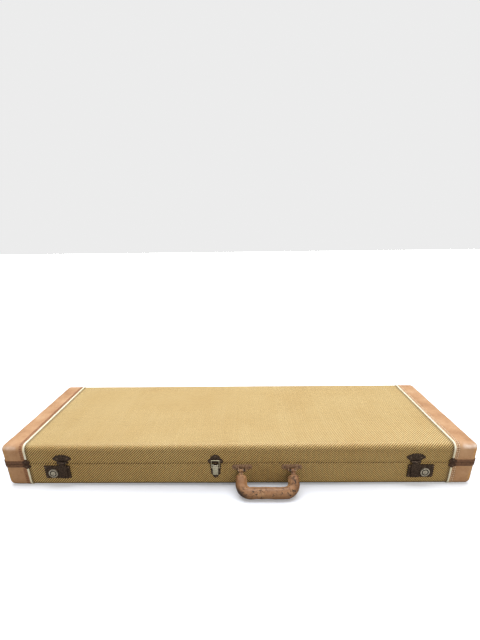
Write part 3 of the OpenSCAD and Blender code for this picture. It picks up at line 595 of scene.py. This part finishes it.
def soften(node, paint, voxel=4.0, rounds=6, amount=0.6, size=30.0):
    """Padded look of a CAD node: remeshed evenly, smoothed, and dented a little."""
    source = frame["nodes"][node].data.copy()
    work = bmesh.new()
    work.from_mesh(source)
    bmesh.ops.remove_doubles(work, verts=work.verts[:], dist=2e-6)
    work.to_mesh(source)
    work.free()
    temp = bpy.data.objects.new("temp", source)
    bpy.context.scene.collection.objects.link(temp)
    remesh = temp.modifiers.new("even", "REMESH")
    remesh.mode, remesh.voxel_size = "VOXEL", voxel * MM
    smooth = temp.modifiers.new("soft", "SMOOTH")
    smooth.factor, smooth.iterations = 0.5, rounds
    mesh = bpy.data.meshes.new_from_object(temp.evaluated_get(bpy.context.evaluated_depsgraph_get()))
    bpy.data.objects.remove(temp)
    low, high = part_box(node)
    work = bmesh.new()
    work.from_mesh(mesh)
    work.normal_update()
    for v in work.verts:
        dent = noise.noise(v.co / (size * MM)) * amount * MM
        near_floor = min(1.0, max(0.0, (v.co.z - low.z) / (6 * MM)))
        v.co += v.normal * (dent - 0.4 * MM) * near_floor
        for axis in range(3):
            v.co[axis] = min(max(v.co[axis], low[axis]), high[axis])
    work.to_mesh(mesh)
    work.free()
    mesh.name = node + "_pad"
    return place_mesh(node + "_pad", mesh, BODY_OF[node], paint, (node,), smooth=60)


# ---------------------------------------------------------------- cloth


def rim_rows(inset, up):
    """Rows (inset, z) from the wall over the rim: on the outer face and on the wood. The lid's covering also
    turns up on the inside of the wall."""
    rim = PART_Z + up * RIM_GAP
    top = rim - up * FOLD
    outer = [(inset, rim + up * 8), (inset, rim + up * 1.4), (inset + 0.25, rim + up * 0.5),
             (inset + 0.9, rim - up * 0.05), (2.6, top), (6, top), (9.8, top)]
    inner = [(WOOD_STEP, rim + up * z) for z in (8, 1.4, 0.8, 0.3)]
    inner += [(2.6, rim), (6, rim), (9.7, rim)]
    if up > 0:
        outer += [(10.2, rim + 0.4), (10.25, rim + 3), (10.2, rim + 7.1)]
        inner += [(10, rim + 0.5), (10, rim + 3), (10, rim + 7.1)]
    return outer, inner


def cloth_profile(up):
    """Points (y, z) of the cloth's outer and inner face, from the front fold to the back fold."""
    faces = []
    radii = (EDGE_R, EDGE_R - WOOD_STEP)
    for rows, step, radius in zip(rim_rows(CLOTH_STEP, up), (CLOTH_STEP, WOOD_STEP), radii):
        far = CASE_H - step if up > 0 else (0.0 if step == CLOTH_STEP else WOOD_STEP)
        edge = far - up * radius
        reach = HALF_D - step - radius
        half = [(HALF_D - a, z) for a, z in reversed(rows)]
        half += [(HALF_D - step, z) for z in np.linspace(rows[0][1], edge, 7)[1:]]
        half += [(reach + radius * math.cos(t), edge + up * radius * math.sin(t))
                 for t in np.linspace(0, math.pi / 2, 10)[1:]]
        flat = [(y, far) for y in np.linspace(-reach, reach, 45)[1:-1]]
        faces.append(np.array([(-y, z) for y, z in half] + flat + half[::-1]))
    return faces


def make_cloth(name, node, body, up):
    outer, inner = cloth_profile(up)
    along = run_length(outer)
    rim = int(np.argmin(np.abs(outer[:30, 0] + HALF_D - CLOTH_STEP) + np.abs(outer[:30, 1] - PART_Z)))
    height = (along - along[rim]) * up
    xs = np.concatenate([[-CLOTH_X, -CLOTH_X + 0.7], np.linspace(-465, 465, 121), [CLOTH_X - 0.7, CLOTH_X]])
    tail = along[-1] - along
    calm = ease(along, 18, 40) * ease(tail, 18, 40)
    surfaces = []
    for face in (outer, inner):
        surfaces.append(np.array([(x, y, z) for x in xs for y, z in face]))
    weave = np.array([(x, h, 0) for x in xs for h in height])
    free = np.array([c * ease(CLOTH_X - abs(x), 2, 30) for x in xs for c in calm])
    x, y, z = surfaces[0].T
    to_piping = CLOTH_X - np.abs(x)
    by_handle = np.exp(-(((x - HANDLE[0]) / 95) ** 2 + ((z - 30) / 40) ** 2)) * (y < -170)
    # Painted shade: darker low on the front and back walls, towards the bottom.
    low = 1.3 * ease(10 - z, 0, 8) * (np.abs(y) > 150)
    # Painted shade along the parting line on the front and back walls.
    rim_shade = 0.5 * np.exp(-(((z - PART_Z) / 2.2) ** 2)) * (np.abs(y) > 170)
    ends = 0.35 * np.exp(-(to_piping / 7))
    edge_dirt = 0.3 * np.exp(-(((np.abs(y) - 176) / 4) ** 2 + ((z - 92) / 7) ** 2))
    # Painted shadow: a dark band at the bottom and a thin dark line beside the piping.
    under = np.maximum(0.93 * ease(9 - z, 0, 5), 0.7 * np.exp(-((to_piping / 1.5) ** 2)))
    # grime sums dirt by the handle, towards the piping and along the top edge with painted shade low on the
    # walls and along the parting line.
    grime = np.clip(0.45 * by_handle + low + rim_shade + ends + edge_dirt, 0, 1)
    verts, faces = shell(*surfaces, grid_faces(len(xs), len(outer)))
    data = {
        "weave": np.vstack([weave, weave]),
        "free": outer_only(free),
        "grime": outer_only(grime),
        "under": outer_only(under),
        # side marks the walls, whose cloth colour carries painted shade.
        "side": np.tile(ease(np.abs(y), 168, 177), 2),
    }
    new_object(name, verts, faces, body, TWEED, (node,), data=data, waves=[(0.35, 90), (0.16, 28)])


# ---------------------------------------------------------------- leather ends


def end_stations(first_x=CAP_X):
    """Places round one end, seen from above: (x, y) of the inner rectangle and the outward direction."""
    corner_x, corner_y = HALF_L - END_R, HALF_D - EDGE_R
    xs = np.linspace(first_x, corner_x, 15)
    ys = np.linspace(-corner_y, corner_y, 45)
    turns = np.linspace(0, math.pi / 2, 11)[1:]
    rows = [(x, -corner_y, 0, -1) for x in xs]
    rows += [(corner_x, -corner_y, math.sin(t), -math.cos(t)) for t in turns]
    rows += [(corner_x, y, 1, 0) for y in ys[1:]]
    rows += [(corner_x, corner_y, math.cos(t), math.sin(t)) for t in turns]
    rows += [(x, corner_y, 0, 1) for x in xs[::-1][1:]]
    return np.array(rows), xs, ys


def at_end(stations, inset, z, tilt=0.0):
    """Points round the end at one height. tilt is how far the surface has turned towards the top."""
    c = math.cos(tilt)
    x = stations[:, 0] + stations[:, 2] * (END_R - inset) * c
    y = stations[:, 1] + stations[:, 3] * (EDGE_R - inset) * c
    return np.column_stack([x, y, np.full(len(x), z)])


def make_cap(side, up, body):
    stations, xs, ys = end_stations()
    surfaces = []
    for rows, inset in zip(rim_rows(0.0, up), (0.0, WOOD_STEP)):
        centre = CASE_H - EDGE_R if up > 0 else EDGE_R
        rings = [at_end(stations, a, z) for a, z in reversed(rows)]
        rings += [at_end(stations, inset, z) for z in np.linspace(rows[0][1], centre, 8)[1:]]
        rings += [at_end(stations, inset, centre + up * (EDGE_R - inset) * math.sin(t), t)
                  for t in np.linspace(0, math.pi / 2, 11)[1:]]
        flat = np.array([(x, y, centre + up * (EDGE_R - inset)) for x in xs for y in ys])
        surfaces.append(np.vstack(rings + [flat]))
    count = len(stations)
    ring_faces = grid_faces(len(rings), count)
    flat_faces = grid_faces(len(xs), len(ys), start=len(rings) * count)
    # the flat middle's quads run the other way round from the rings'
    faces = ring_faces + [f[::-1] for f in flat_faces]
    outer, faces, inner = weld(surfaces[0], faces, surfaces[1])
    x, y, z = outer.T
    round_x = np.clip((x - (HALF_L - END_R)) / END_R, 0, 1)
    round_y = np.clip((np.abs(y) - HALF_D + EDGE_R) / EDGE_R, 0, 1)
    corner = np.clip(round_x * round_y * 2.2, 0, 1)
    top = CASE_H if up > 0 else 0
    near_top = np.exp(-((np.abs(z - top) - 18) / 13) ** 2)
    outside = (np.abs(y) > 168) | (x > HALF_L - 10)
    top_edge = np.exp(-((np.abs(z - top) - 3.5) / 3.5) ** 2) * outside * 0.35
    worn = np.clip(corner * (0.25 + 0.75 * near_top) + top_edge * corner, 0, 1)
    free = ease(np.abs(z - PART_Z), 9, 20) * ease(x - CAP_X, 0, 8)
    # Painted highlight: a pale band along the top front edge, half as strong on the left end.
    painted_highlight = np.exp(-(((z - 98.5) / 3.6) ** 2)) * (y < -166) * ease(x - CAP_X, 12, 20)
    painted_highlight = painted_highlight * (1 if side > 0 else 0.5)
    seam = np.exp(-(((x - CAP_X - 5) / 3.4) ** 4)) * (np.abs(z - PART_Z) > 9)
    verts, faces = shell(outer, inner, faces)
    verts[:, 0] *= side
    # Painted shadow: darker towards the bottom of the caps.
    under = 0.85 * ease(8 - z, 0, 5)
    fields = {"worn": worn, "free": free, "painted_highlight": painted_highlight, "seam": seam, "under": under}
    data = {key: outer_only(values) for key, values in fields.items()}
    name = f"{HALF_NAME[up]}_cap_{END_NAME[side]}"
    new_object(name + "_hide", verts, faces, body, LEATHER, (name,), data=data,
               waves=[(0.5, 40), (0.25, 12)])


def profile_path(inset, up, from_rim, spacing):
    """Evenly spaced points (y, z) over one half of the case, with their tangents and outward normals."""
    radius = EDGE_R - inset
    centre = CASE_H - EDGE_R if up > 0 else EDGE_R
    reach = HALF_D - EDGE_R
    fine = [(-(HALF_D - inset), z) for z in np.linspace(PART_Z + up * from_rim, centre, 60)]
    fine += [(-(reach + radius * math.cos(t)), centre + up * radius * math.sin(t))
             for t in np.linspace(0, math.pi / 2, 30)[1:]]
    far = centre + up * radius
    fine += [(y, far) for y in np.linspace(-reach, 0, 120)[1:]]
    fine = np.array(fine + [(-y, z) for y, z in fine[::-1][1:]])
    length = run_length(fine)
    places = np.linspace(0, length[-1], max(8, int(length[-1] / spacing)))
    path = np.column_stack([np.interp(places, length, fine[:, 0]), np.interp(places, length, fine[:, 1])])
    tangent = np.gradient(path, axis=0)
    tangent /= np.linalg.norm(tangent, axis=1)[:, None]
    normal = np.column_stack([-tangent[:, 1], tangent[:, 0]]) * up
    return path, tangent, normal


def stitch(centre, tangent, normal, length, radius):
    """One raised stitch whose ends dive into the surface."""
    side = np.cross(tangent, normal)
    places = (-0.5, -0.38, -0.15, 0.15, 0.38, 0.5)
    sizes = (0.5, 0.9, 1.0, 1.0, 0.9, 0.5)
    lifts = (-0.8, -0.1, 0.35, 0.35, -0.1, -0.8)
    rings = []
    for place, size, lift in zip(places, sizes, lifts):
        middle = centre + tangent * (place * length) + normal * (lift * radius)
        rings += [middle + radius * size * (math.cos(t) * side + math.sin(t) * normal)
                  for t in np.linspace(0, 2 * math.pi, 7)[:-1]]
    faces = grid_faces(len(places), 6, wrap=True)
    return np.array(rings), faces + end_faces(len(rings), 6)


def make_cap_stitches(side, up, body):
    """Two columns of thread beside the piping. The left end's thread has darkened."""
    parts = []
    for column in (4.8, 8.4):
        path, tangent, normal = profile_path(0.0, up, 12.0, 5.2)
        x = side * (PIPE_X + column)
        for p, t, n in zip(path, tangent, normal):
            parts.append(stitch(np.array([x, *p]), np.array([0, *t]), np.array([0, *n]), 3.6, 0.75))
    name = f"{HALF_NAME[up]}_stitches_{END_NAME[side]}"
    verts, faces = join(parts)
    new_object(name, verts, faces, body, LIGHT_THREAD if side > 0 else DARK_THREAD)


def make_piping(up, body):
    """Round bead over a cord, thinner where it passes under the end plates of the rails."""
    parts, runs = [], []
    for side in (-1, 1):
        path, tangent, normal = profile_path(1.0, up, 0.5, 3.0)
        sink = 1.35 * ease(13.5 - np.abs(path[:, 1] - PART_Z), 0, 2.5) * (np.abs(path[:, 0]) > 170)
        path = path - normal * sink[:, None]
        line = np.column_stack([np.full(len(path), side * PIPE_X), path])
        turns = np.linspace(0, 2 * math.pi, 15)[:-1]
        sections = []
        for i, q in enumerate(line):
            r = 2.2 * (1 + 0.03 * noise.noise(Vector(q) / 14))
            sections.append(np.column_stack([r * np.cos(turns), r * np.sin(turns)]))
        parts.append(sweep(line, (1, 0, 0), sections))
        runs.append(np.repeat(run_length(line), len(turns)))
    verts, faces = join(parts)
    name = HALF_NAME[up] + "_piping"
    new_object(name + "_bead", verts, faces, body, PIPING, (name,),
               data={"run": np.concatenate(runs)})


def lobe_plate(x, face, up):
    """Domed three-lobed plate at the end of a rail."""
    centre = np.array([0.0, 4.0])
    circles = [((0.0, 8.2), 3.8), ((5.0, 5.0), 3.8), ((-5.0, 5.0), 3.8)]
    outline = []
    for t in np.linspace(0, 2 * math.pi, 65)[:-1]:
        d = np.array([math.cos(t), math.sin(t)])
        reach = 0.0
        for middle, r in circles:
            gap = centre - np.array(middle)
            b = gap @ d
            disc = b * b - gap @ gap + r * r
            if disc > 0:
                reach = max(reach, -b + math.sqrt(disc))
        limits = []
        if abs(d[0]) > 1e-6:
            limits.append(5.0 / abs(d[0]))
        if d[1] > 1e-6:
            limits.append(1.0 / d[1])
        if d[1] < -1e-6:
            limits.append(3.65 / -d[1])
        reach = max(reach, min(limits))
        outline.append(d * reach)
    outline = np.array(outline)
    verts = []
    for scale, lift in ((1.0, -0.1), (1.0, 1.1), (0.95, 1.6), (0.86, 1.8), (0.5, 1.9), (0.15, 1.92)):
        for q in centre + outline * scale:
            verts.append((x + q[0], face * (HALF_D + lift), PART_Z + up * q[1]))
    faces = grid_faces(6, 64, wrap=True)
    return np.array(verts), faces + end_faces(len(verts), 64)


def make_rails(up, body):
    """Rolled metal strips round both ends along the rim."""
    low, high = 0.35, 8.0
    section = [(-0.05, low), (1.0, low), (1.4, low + 0.35), (1.55, low + 1.3), (1.6, 3.2), (1.6, 5.0),
               (1.5, high - 1.3), (1.3, high - 0.4), (0.9, high), (-0.05, high)]
    stations, _, _ = end_stations(PIPE_X + 1.5)
    parts, lobes = [], []
    for side in (-1, 1):
        rings = [at_end(stations, -a, PART_Z + up * z) for a, z in section]
        verts = np.stack(rings, axis=1).reshape(-1, 3)
        verts[:, 0] *= side
        count = len(section)
        faces = grid_faces(len(stations), count, wrap=True)
        parts.append((verts, faces + end_faces(len(verts), count)))
        lobes += [lobe_plate(side * PIPE_X, face, up) for face in (-1, 1)]
    name = HALF_NAME[up] + "_rails"
    verts, faces = join(parts)
    new_object(name + "_rolled", verts, faces, body, RAIL, (name,), smooth=35)
    verts, faces = join(lobes)
    new_object(name + "_lobes", verts, faces, body, LOBE, smooth=35)


# ---------------------------------------------------------------- handle


def handle_point(x, y, z):
    """A point of the handle's own frame, in the row frame."""
    c, s = math.cos(HANDLE_DROOP), math.sin(HANDLE_DROOP)
    return np.column_stack([HANDLE[0] + x, HANDLE[1] + y * c - z * s, HANDLE[2] + y * s + z * c])


def make_handle():
    """Leather grip with rounded shoulders, its inner seam, and the loops round the handle's pins."""
    half, reach, bend = 57.8, GRIP_REACH, 20.0
    line = [(-half, y) for y in np.linspace(-3.6, -(reach - bend), 34)]
    line += [(-half + bend - bend * math.cos(t), -(reach - bend) - bend * math.sin(t))
             for t in np.linspace(0, math.pi / 2, 20)[1:]]
    line += [(x, -reach) for x in np.linspace(-half + bend, 0, 28)[1:]]
    line = np.array(line + [(-x, y) for x, y in line[::-1][1:]])
    place = run_length(line)
    to_end = np.minimum(place, place[-1] - place)
    wide = np.interp(to_end, [0, 4, 5.5, 7.5, 10, 18, 30, 110], [4.8, 4.9, 5.8, 9.9, 11.4, 12, 12.3, 12.4])
    thick = np.interp(to_end, [0, 4, 5.5, 7.5, 10, 18, 30, 110], [2.6, 2.9, 4.2, 9.2, 11, 11.8, 12.3, 12.4])
    count = 48
    turns = np.linspace(0, 2 * math.pi, count + 1)[:-1]
    sections, burnt, worn = [], [], []
    for i in range(len(line)):
        c, s = np.cos(turns), np.sin(turns)
        power = 2 / 2.35
        u = thick[i] * np.sign(c) * np.abs(c) ** power
        w = wide[i] * np.sign(s) * np.abs(s) ** power
        inward = np.exp(-(((turns - SEAM_TURN) / 0.13) ** 2)) * ease(to_end[i], 8, 20)
        w = w * (1 + 0.09 * inward)
        sections.append(np.column_stack([u, w]))
        outer_side = np.exp(-(((turns - BURNT_TURN) / 0.75) ** 2))
        left = math.exp(-(((line[i][0] + 50) / 12) ** 2 + ((line[i][1] + 40) / 12) ** 2))
        burnt.append(np.clip(1.6 * outer_side * left - 0.35, 0, 1))
        near_seam = np.exp(-(((turns - SEAM_TURN) / 0.45) ** 2))
        legs = ease(-line[i][1], 6, 20) * ease(reach - 4 + line[i][1], 0, 10)
        worn.append(np.clip(near_seam * (0.35 + 0.65 * legs), 0, 1))
    path = np.column_stack([line, np.zeros(len(line))])
    verts, faces = sweep(path, (0, 0, 1), sections)
    free = np.repeat(ease(to_end, 3, 14), count)
    verts = handle_point(*verts.T)
    data = {"free": free, "burnt": np.concatenate(burnt), "worn": np.concatenate(worn)}
    new_object("grip_wrap", verts, faces, "handle", HANDLE_LEATHER, ("handle_grip",),
               data=data, waves=[(0.7, 22), (0.45, 7), (0.2, 2.6)])
    parts = []
    for i in range(14, len(line) - 14):
        if i % 2:
            continue
        t = np.array([*(line[i + 1] - line[i - 1]), 0.0])
        t /= np.linalg.norm(t)
        inward = np.array([-t[1], t[0], 0.0])
        for lift in (1.6, -1.6):
            centre = np.array([*line[i], 0.0]) + inward * (wide[i] + 0.25) + np.array([0, 0, lift])
            v, f = stitch(centre, t, inward, 2.2, 0.32)
            parts.append((handle_point(*v.T), f))
    verts, faces = join(parts)
    new_object("grip_stitches", verts, faces, "handle", DARK_THREAD)
    loops = []
    for x in (-half, half):
        ring = np.linspace(0, 2 * math.pi, 33)[:-1]
        section = [(3.45, -4.4), (4.5, -4.7), (4.9, -4.3), (4.95, 0.0), (4.9, 4.3), (4.5, 4.7), (3.45, 4.4)]
        verts = [(x + w, r * math.cos(t), r * math.sin(t)) for t in ring for r, w in section]
        count = len(section)
        faces = grid_faces(len(ring), count, wrap=True) + closing_faces(len(ring), count)
        loops.append((handle_point(*np.array(verts).T), faces))
    verts, faces = join(loops)
    new_object("strap_loops", verts, faces, "handle", HANDLE_LEATHER)


# ---------------------------------------------------------------- inside


def slab_lines(low, high, roll):
    """Places across a slab, close together over its rolled edges."""
    near = [low + roll * f for f in (0, 0.06, 0.2, 0.45, 0.75, 1)]
    count = max(3, int((high - low - 2 * roll) / 9))
    middle = list(np.linspace(low + roll, high - roll, count)[1:-1])
    return np.array(near + middle + [low + high - n for n in near[::-1]])


def make_slab(name, node, low, high, roll, up, waves=((0.5, 45), (0.25, 14))):
    """Stuffed plush slab with rolled edges. up is the side that is soft."""
    xs, ys = slab_lines(low[0], high[0], roll), slab_lines(low[1], high[1], roll)
    soft, flat = (high[2], low[2]) if up > 0 else (low[2], high[2])
    top, free = [], []
    for x in xs:
        for y in ys:
            drop = 0.0
            for d in (x - low[0], high[0] - x, y - low[1], high[1] - y):
                if d < roll:
                    drop = max(drop, roll - math.sqrt(max(0, roll * roll - (roll - d) ** 2)))
            inner = min(x - low[0], high[0] - x, y - low[1], high[1] - y)
            top.append((x, y, soft - up * (drop + 0.5)))
            free.append(float(ease(inner, 0, 2 * roll)))
    top = np.array(top)
    bottom = top.copy()
    bottom[:, 2] = flat
    verts, faces = shell(top, bottom, grid_faces(len(xs), len(ys)))
    return new_object(name, verts, faces, BODY_OF[node], PLUSH, (node,),
                      data={"free": outer_only(free)}, waves=waves)


def make_lining(name, node, up):
    """Plush on the walls, with a rounded edge. The base's stands up as a lip except along the hinge side."""
    half_x, half_y, turn = 518.5, 169.0, 6.0
    xs = np.linspace(-(half_x - turn), half_x - turn, 100)
    ys = np.linspace(-(half_y - turn), half_y - turn, 34)
    arcs = np.linspace(0, math.pi / 2, 7)[1:-1]
    loop = [(x, -(half_y - turn), 0, -1) for x in xs]
    loop += [(half_x - turn, -(half_y - turn), math.sin(t), -math.cos(t)) for t in arcs]
    loop += [(half_x - turn, y, 1, 0) for y in ys]
    loop += [(half_x - turn, half_y - turn, math.cos(t), math.sin(t)) for t in arcs]
    loop += [(x, half_y - turn, 0, 1) for x in xs[::-1]]
    loop += [(-(half_x - turn), half_y - turn, -math.sin(t), math.cos(t)) for t in arcs]
    loop += [(-(half_x - turn), y, -1, 0) for y in ys[::-1]]
    loop += [(-(half_x - turn), -(half_y - turn), -math.cos(t), -math.sin(t)) for t in arcs]
    verts, free = [], []
    for x, y, dx, dy in loop:
        if up < 0:
            top = 64.6 - 7.1 * float(ease(y, 152, 160))
            back = 0.8 if top > 59 else 0.0
            rows = [(0.05, 15.05), (0.05, min(57.4, top)), (back + 0.05, min(58.5, top)), (0.95, top - 0.5),
                    (1.5, top), (2.1, top - 0.3), (2.45, top - 1.2)]
            rows += [(2.5, z) for z in (48.0, 36.0, 24.0, 15.05)]
        else:
            rows = [(0.05, 92.9), (0.05, 67.2), (0.3, 66.7), (1.2, 66.55), (2.1, 66.8), (2.45, 67.8)]
            rows += [(2.5, z) for z in (74, 80, 87, 92.9)]
        for inset, z in rows:
            verts.append((x + dx * (turn - inset), y + dy * (turn - inset), z))
            free.append(1.0 if inset > 2.4 and 18 < z < 90 else 0.0)
    count = len(rows)
    faces = grid_faces(len(loop), count, wrap=True) + closing_faces(len(loop), count)
    return new_object(name, verts, faces, BODY_OF[node], PLUSH, (node,), data={"free": free},
                      waves=[(0.4, 40), (0.2, 12)])


def make_tape():
    """Cloth hinge of the compartment lid. It bends between the ledge and the lid."""
    xs = np.linspace(-212, 48, 66)
    ys = np.concatenate([np.linspace(-165.2, -162, 5), np.linspace(-161.6, -159.8, 13),
                         np.linspace(-159.4, -155.5, 5)])
    low = np.array([(x, y, 38.34) for x in xs for y in ys])
    high = low + (0, 0, 0.5)
    verts, faces = shell(high, low, grid_faces(len(xs), len(ys)))
    tape = new_object("hinge_tape_cloth", verts, faces, None, PLUSH, ("compartment_hinge_tape",))
    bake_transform(tape, "base", "compartment_lid", start=(0, -0.1613, 0.0383), end=(0, -0.1601, 0.0383))
    return tape


# ---------------------------------------------------------------- build

for direction, owner in ((-1, "base"), (1, "lid")):
    make_cloth(owner + "_tweed", owner + "_cloth", owner, direction)
    make_piping(direction, owner)
    make_rails(direction, owner)
    for end in (-1, 1):
        make_cap(end, direction, owner)
        make_cap_stitches(end, direction, owner)

make_handle()

for hardware in ("lock_case_left", "lock_case_right", "latch_base_plate", "latch_catch", "hasp_plate_left",
                 "hasp_plate_right", "hasp_left", "hasp_right", "hinge_leaves_base", "hinge_leaves_lid"):
    refine(hardware, DARK, 0.3)
for hardware in ("handle_plate_left", "handle_plate_right"):
    refine(hardware, RAIL, 0.3)


def in_recess(x, y, z):
    """Between the knob's rim and its stem, behind its front: painted shade there."""
    return KNOB_FRONT + 0.6 < y < KNOB_FRONT + 3 and math.hypot(abs(x) - LOCK_X, z - LOCK_Z) < 8.2


for hardware in ("lock_knob_left", "lock_knob_right"):
    refine(hardware, KNOB, 0.25, deep=in_recess)
for hardware in ("lock_key_plug_left", "lock_key_plug_right", "latch_pin", "hasp_pins"):
    refine(hardware, KNOB, 0.15)
refine("latch_lever", NICKEL, 0.3)
refine("latch_bail", NICKEL, 0.1)
for side, direction in (("left", -1), ("right", 1)):
    spring = refine("lock_spring_" + side, STEEL, 0.08)
    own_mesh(spring)
refine("handle_pins", DARK, 0.4)
refine("handle_core", STEEL, 0.2)
refine("compartment_walls", PLUSH, 1.2, segments=4)
refine("compartment_ledge", PLUSH, 1.2, segments=4)
refine("compartment_pull_tab", LEATHER, 0.4, segments=3)

floor_pad = make_slab("floor_padding", "base_floor_pad", (-518.2, -168.7, 7), (518.2, 168.7, 15), 4.0, 1)
lid_padding = make_slab("lid_padding", "lid_pad", (-518.2, -168.7, 93), (518.2, 168.7, 99), 3.0, -1)
make_slab("compartment_door", "compartment_lid", (-212.5, -160.6, 34.3), (48.5, -109.1, 38.3), 1.6, 1,
          waves=((0.15, 20),))
make_lining("base_lining", "base_wall_lining", -1)
make_lining("lid_lining", "lid_wall_lining", 1)
cradle = soften("neck_cradle", PLUSH)
corners = soften("corner_pads", PLUSH)
make_tape()

# the wood, nails, screws and hinge pins keep their CAD shape and only get a look
BARE_NODES = {
    PLYWOOD: ("base_bottom_panel", "base_front_wall", "base_back_wall", "base_end_walls",
              "lid_top_panel", "lid_front_wall", "lid_back_wall", "lid_end_walls"),
    NAIL: ("base_nails", "lid_nails"),
    KNOB: ("hinge_screws_base", "hinge_screws_lid"),
    STEEL: ("hinge_pins",),
}
for paint, nodes in BARE_NODES.items():
    for node in nodes:
        materials = frame["nodes"][node].data.materials
        materials.clear()
        materials.append(paint)


# ---------------------------------------------------------------- stage, light and camera

floor_mesh = bpy.data.meshes.new("studio_floor")
floor_mesh.from_pydata([(-9, -6, 0), (9, -6, 0), (9, 12, 0), (-9, 12, 0)], [], [(0, 1, 2, 3)])
floor = bpy.data.objects.new("studio_floor", floor_mesh)
floor.location.z = -0.0002
bpy.context.scene.collection.objects.link(floor)
floor_mesh.materials.append(floor_paint())

world = bpy.data.worlds.new("studio")
bpy.context.scene.world = world
world.use_nodes = True
sky = world.node_tree
surround = sky.nodes["Background"]
surround.inputs["Color"].default_value = (1.0, 0.96, 0.9, 1)
surround.inputs["Strength"].default_value = 0.34
white = sky.nodes.new("ShaderNodeBackground")
white.inputs["Strength"].default_value = 1.05
seen = sky.nodes.new("ShaderNodeLightPath")
choose = sky.nodes.new("ShaderNodeMixShader")
sky.links.new(seen.outputs["Is Camera Ray"], choose.inputs[0])
sky.links.new(surround.outputs[0], choose.inputs[1])
sky.links.new(white.outputs[0], choose.inputs[2])
sky.links.new(choose.outputs[0], sky.nodes["World Output"].inputs["Surface"])


def area_light(name, place_m, target_m, size_m, watts, colour=(1, 1, 1)):
    data = bpy.data.lights.new(name, "AREA")
    data.shape, data.size, data.size_y = "RECTANGLE", size_m[0], size_m[1]
    data.energy, data.color = watts, colour
    light = bpy.data.objects.new(name, data)
    light.location = place_m
    light.rotation_euler = (Vector(target_m) - Vector(place_m)).to_track_quat("-Z", "Y").to_euler()
    bpy.context.scene.collection.objects.link(light)


area_light("overhead", (0, 0.5, 2.6), (0, 0.05, 0), (3.4, 2.4), 105)
area_light("front_fill", (0.9, -2.6, 1.3), (0.1, 0, 0.05), (2.2, 1.4), 26, (1, 0.92, 0.82))

camera_data = bpy.data.cameras.new("camera")
camera = bpy.data.objects.new("camera", camera_data)
bpy.context.scene.collection.objects.link(camera)
camera_data.sensor_fit, camera_data.sensor_width = "AUTO", 36
camera_data.lens = 21.0375
camera_data.shift_y = 0.103125
camera.location = (0.0178, -0.8877, 0.5322)
yaw, pitch, roll = (Matrix.Rotation(math.radians(angle), 3, axis)
                    for angle, axis in ((0.875, "Z"), (67.97, "X"), (-0.71, "Z")))
camera.rotation_euler = (yaw @ pitch @ roll).to_euler()
bpy.context.scene.camera = camera
bpy.context.scene.view_settings.view_transform = "Standard"
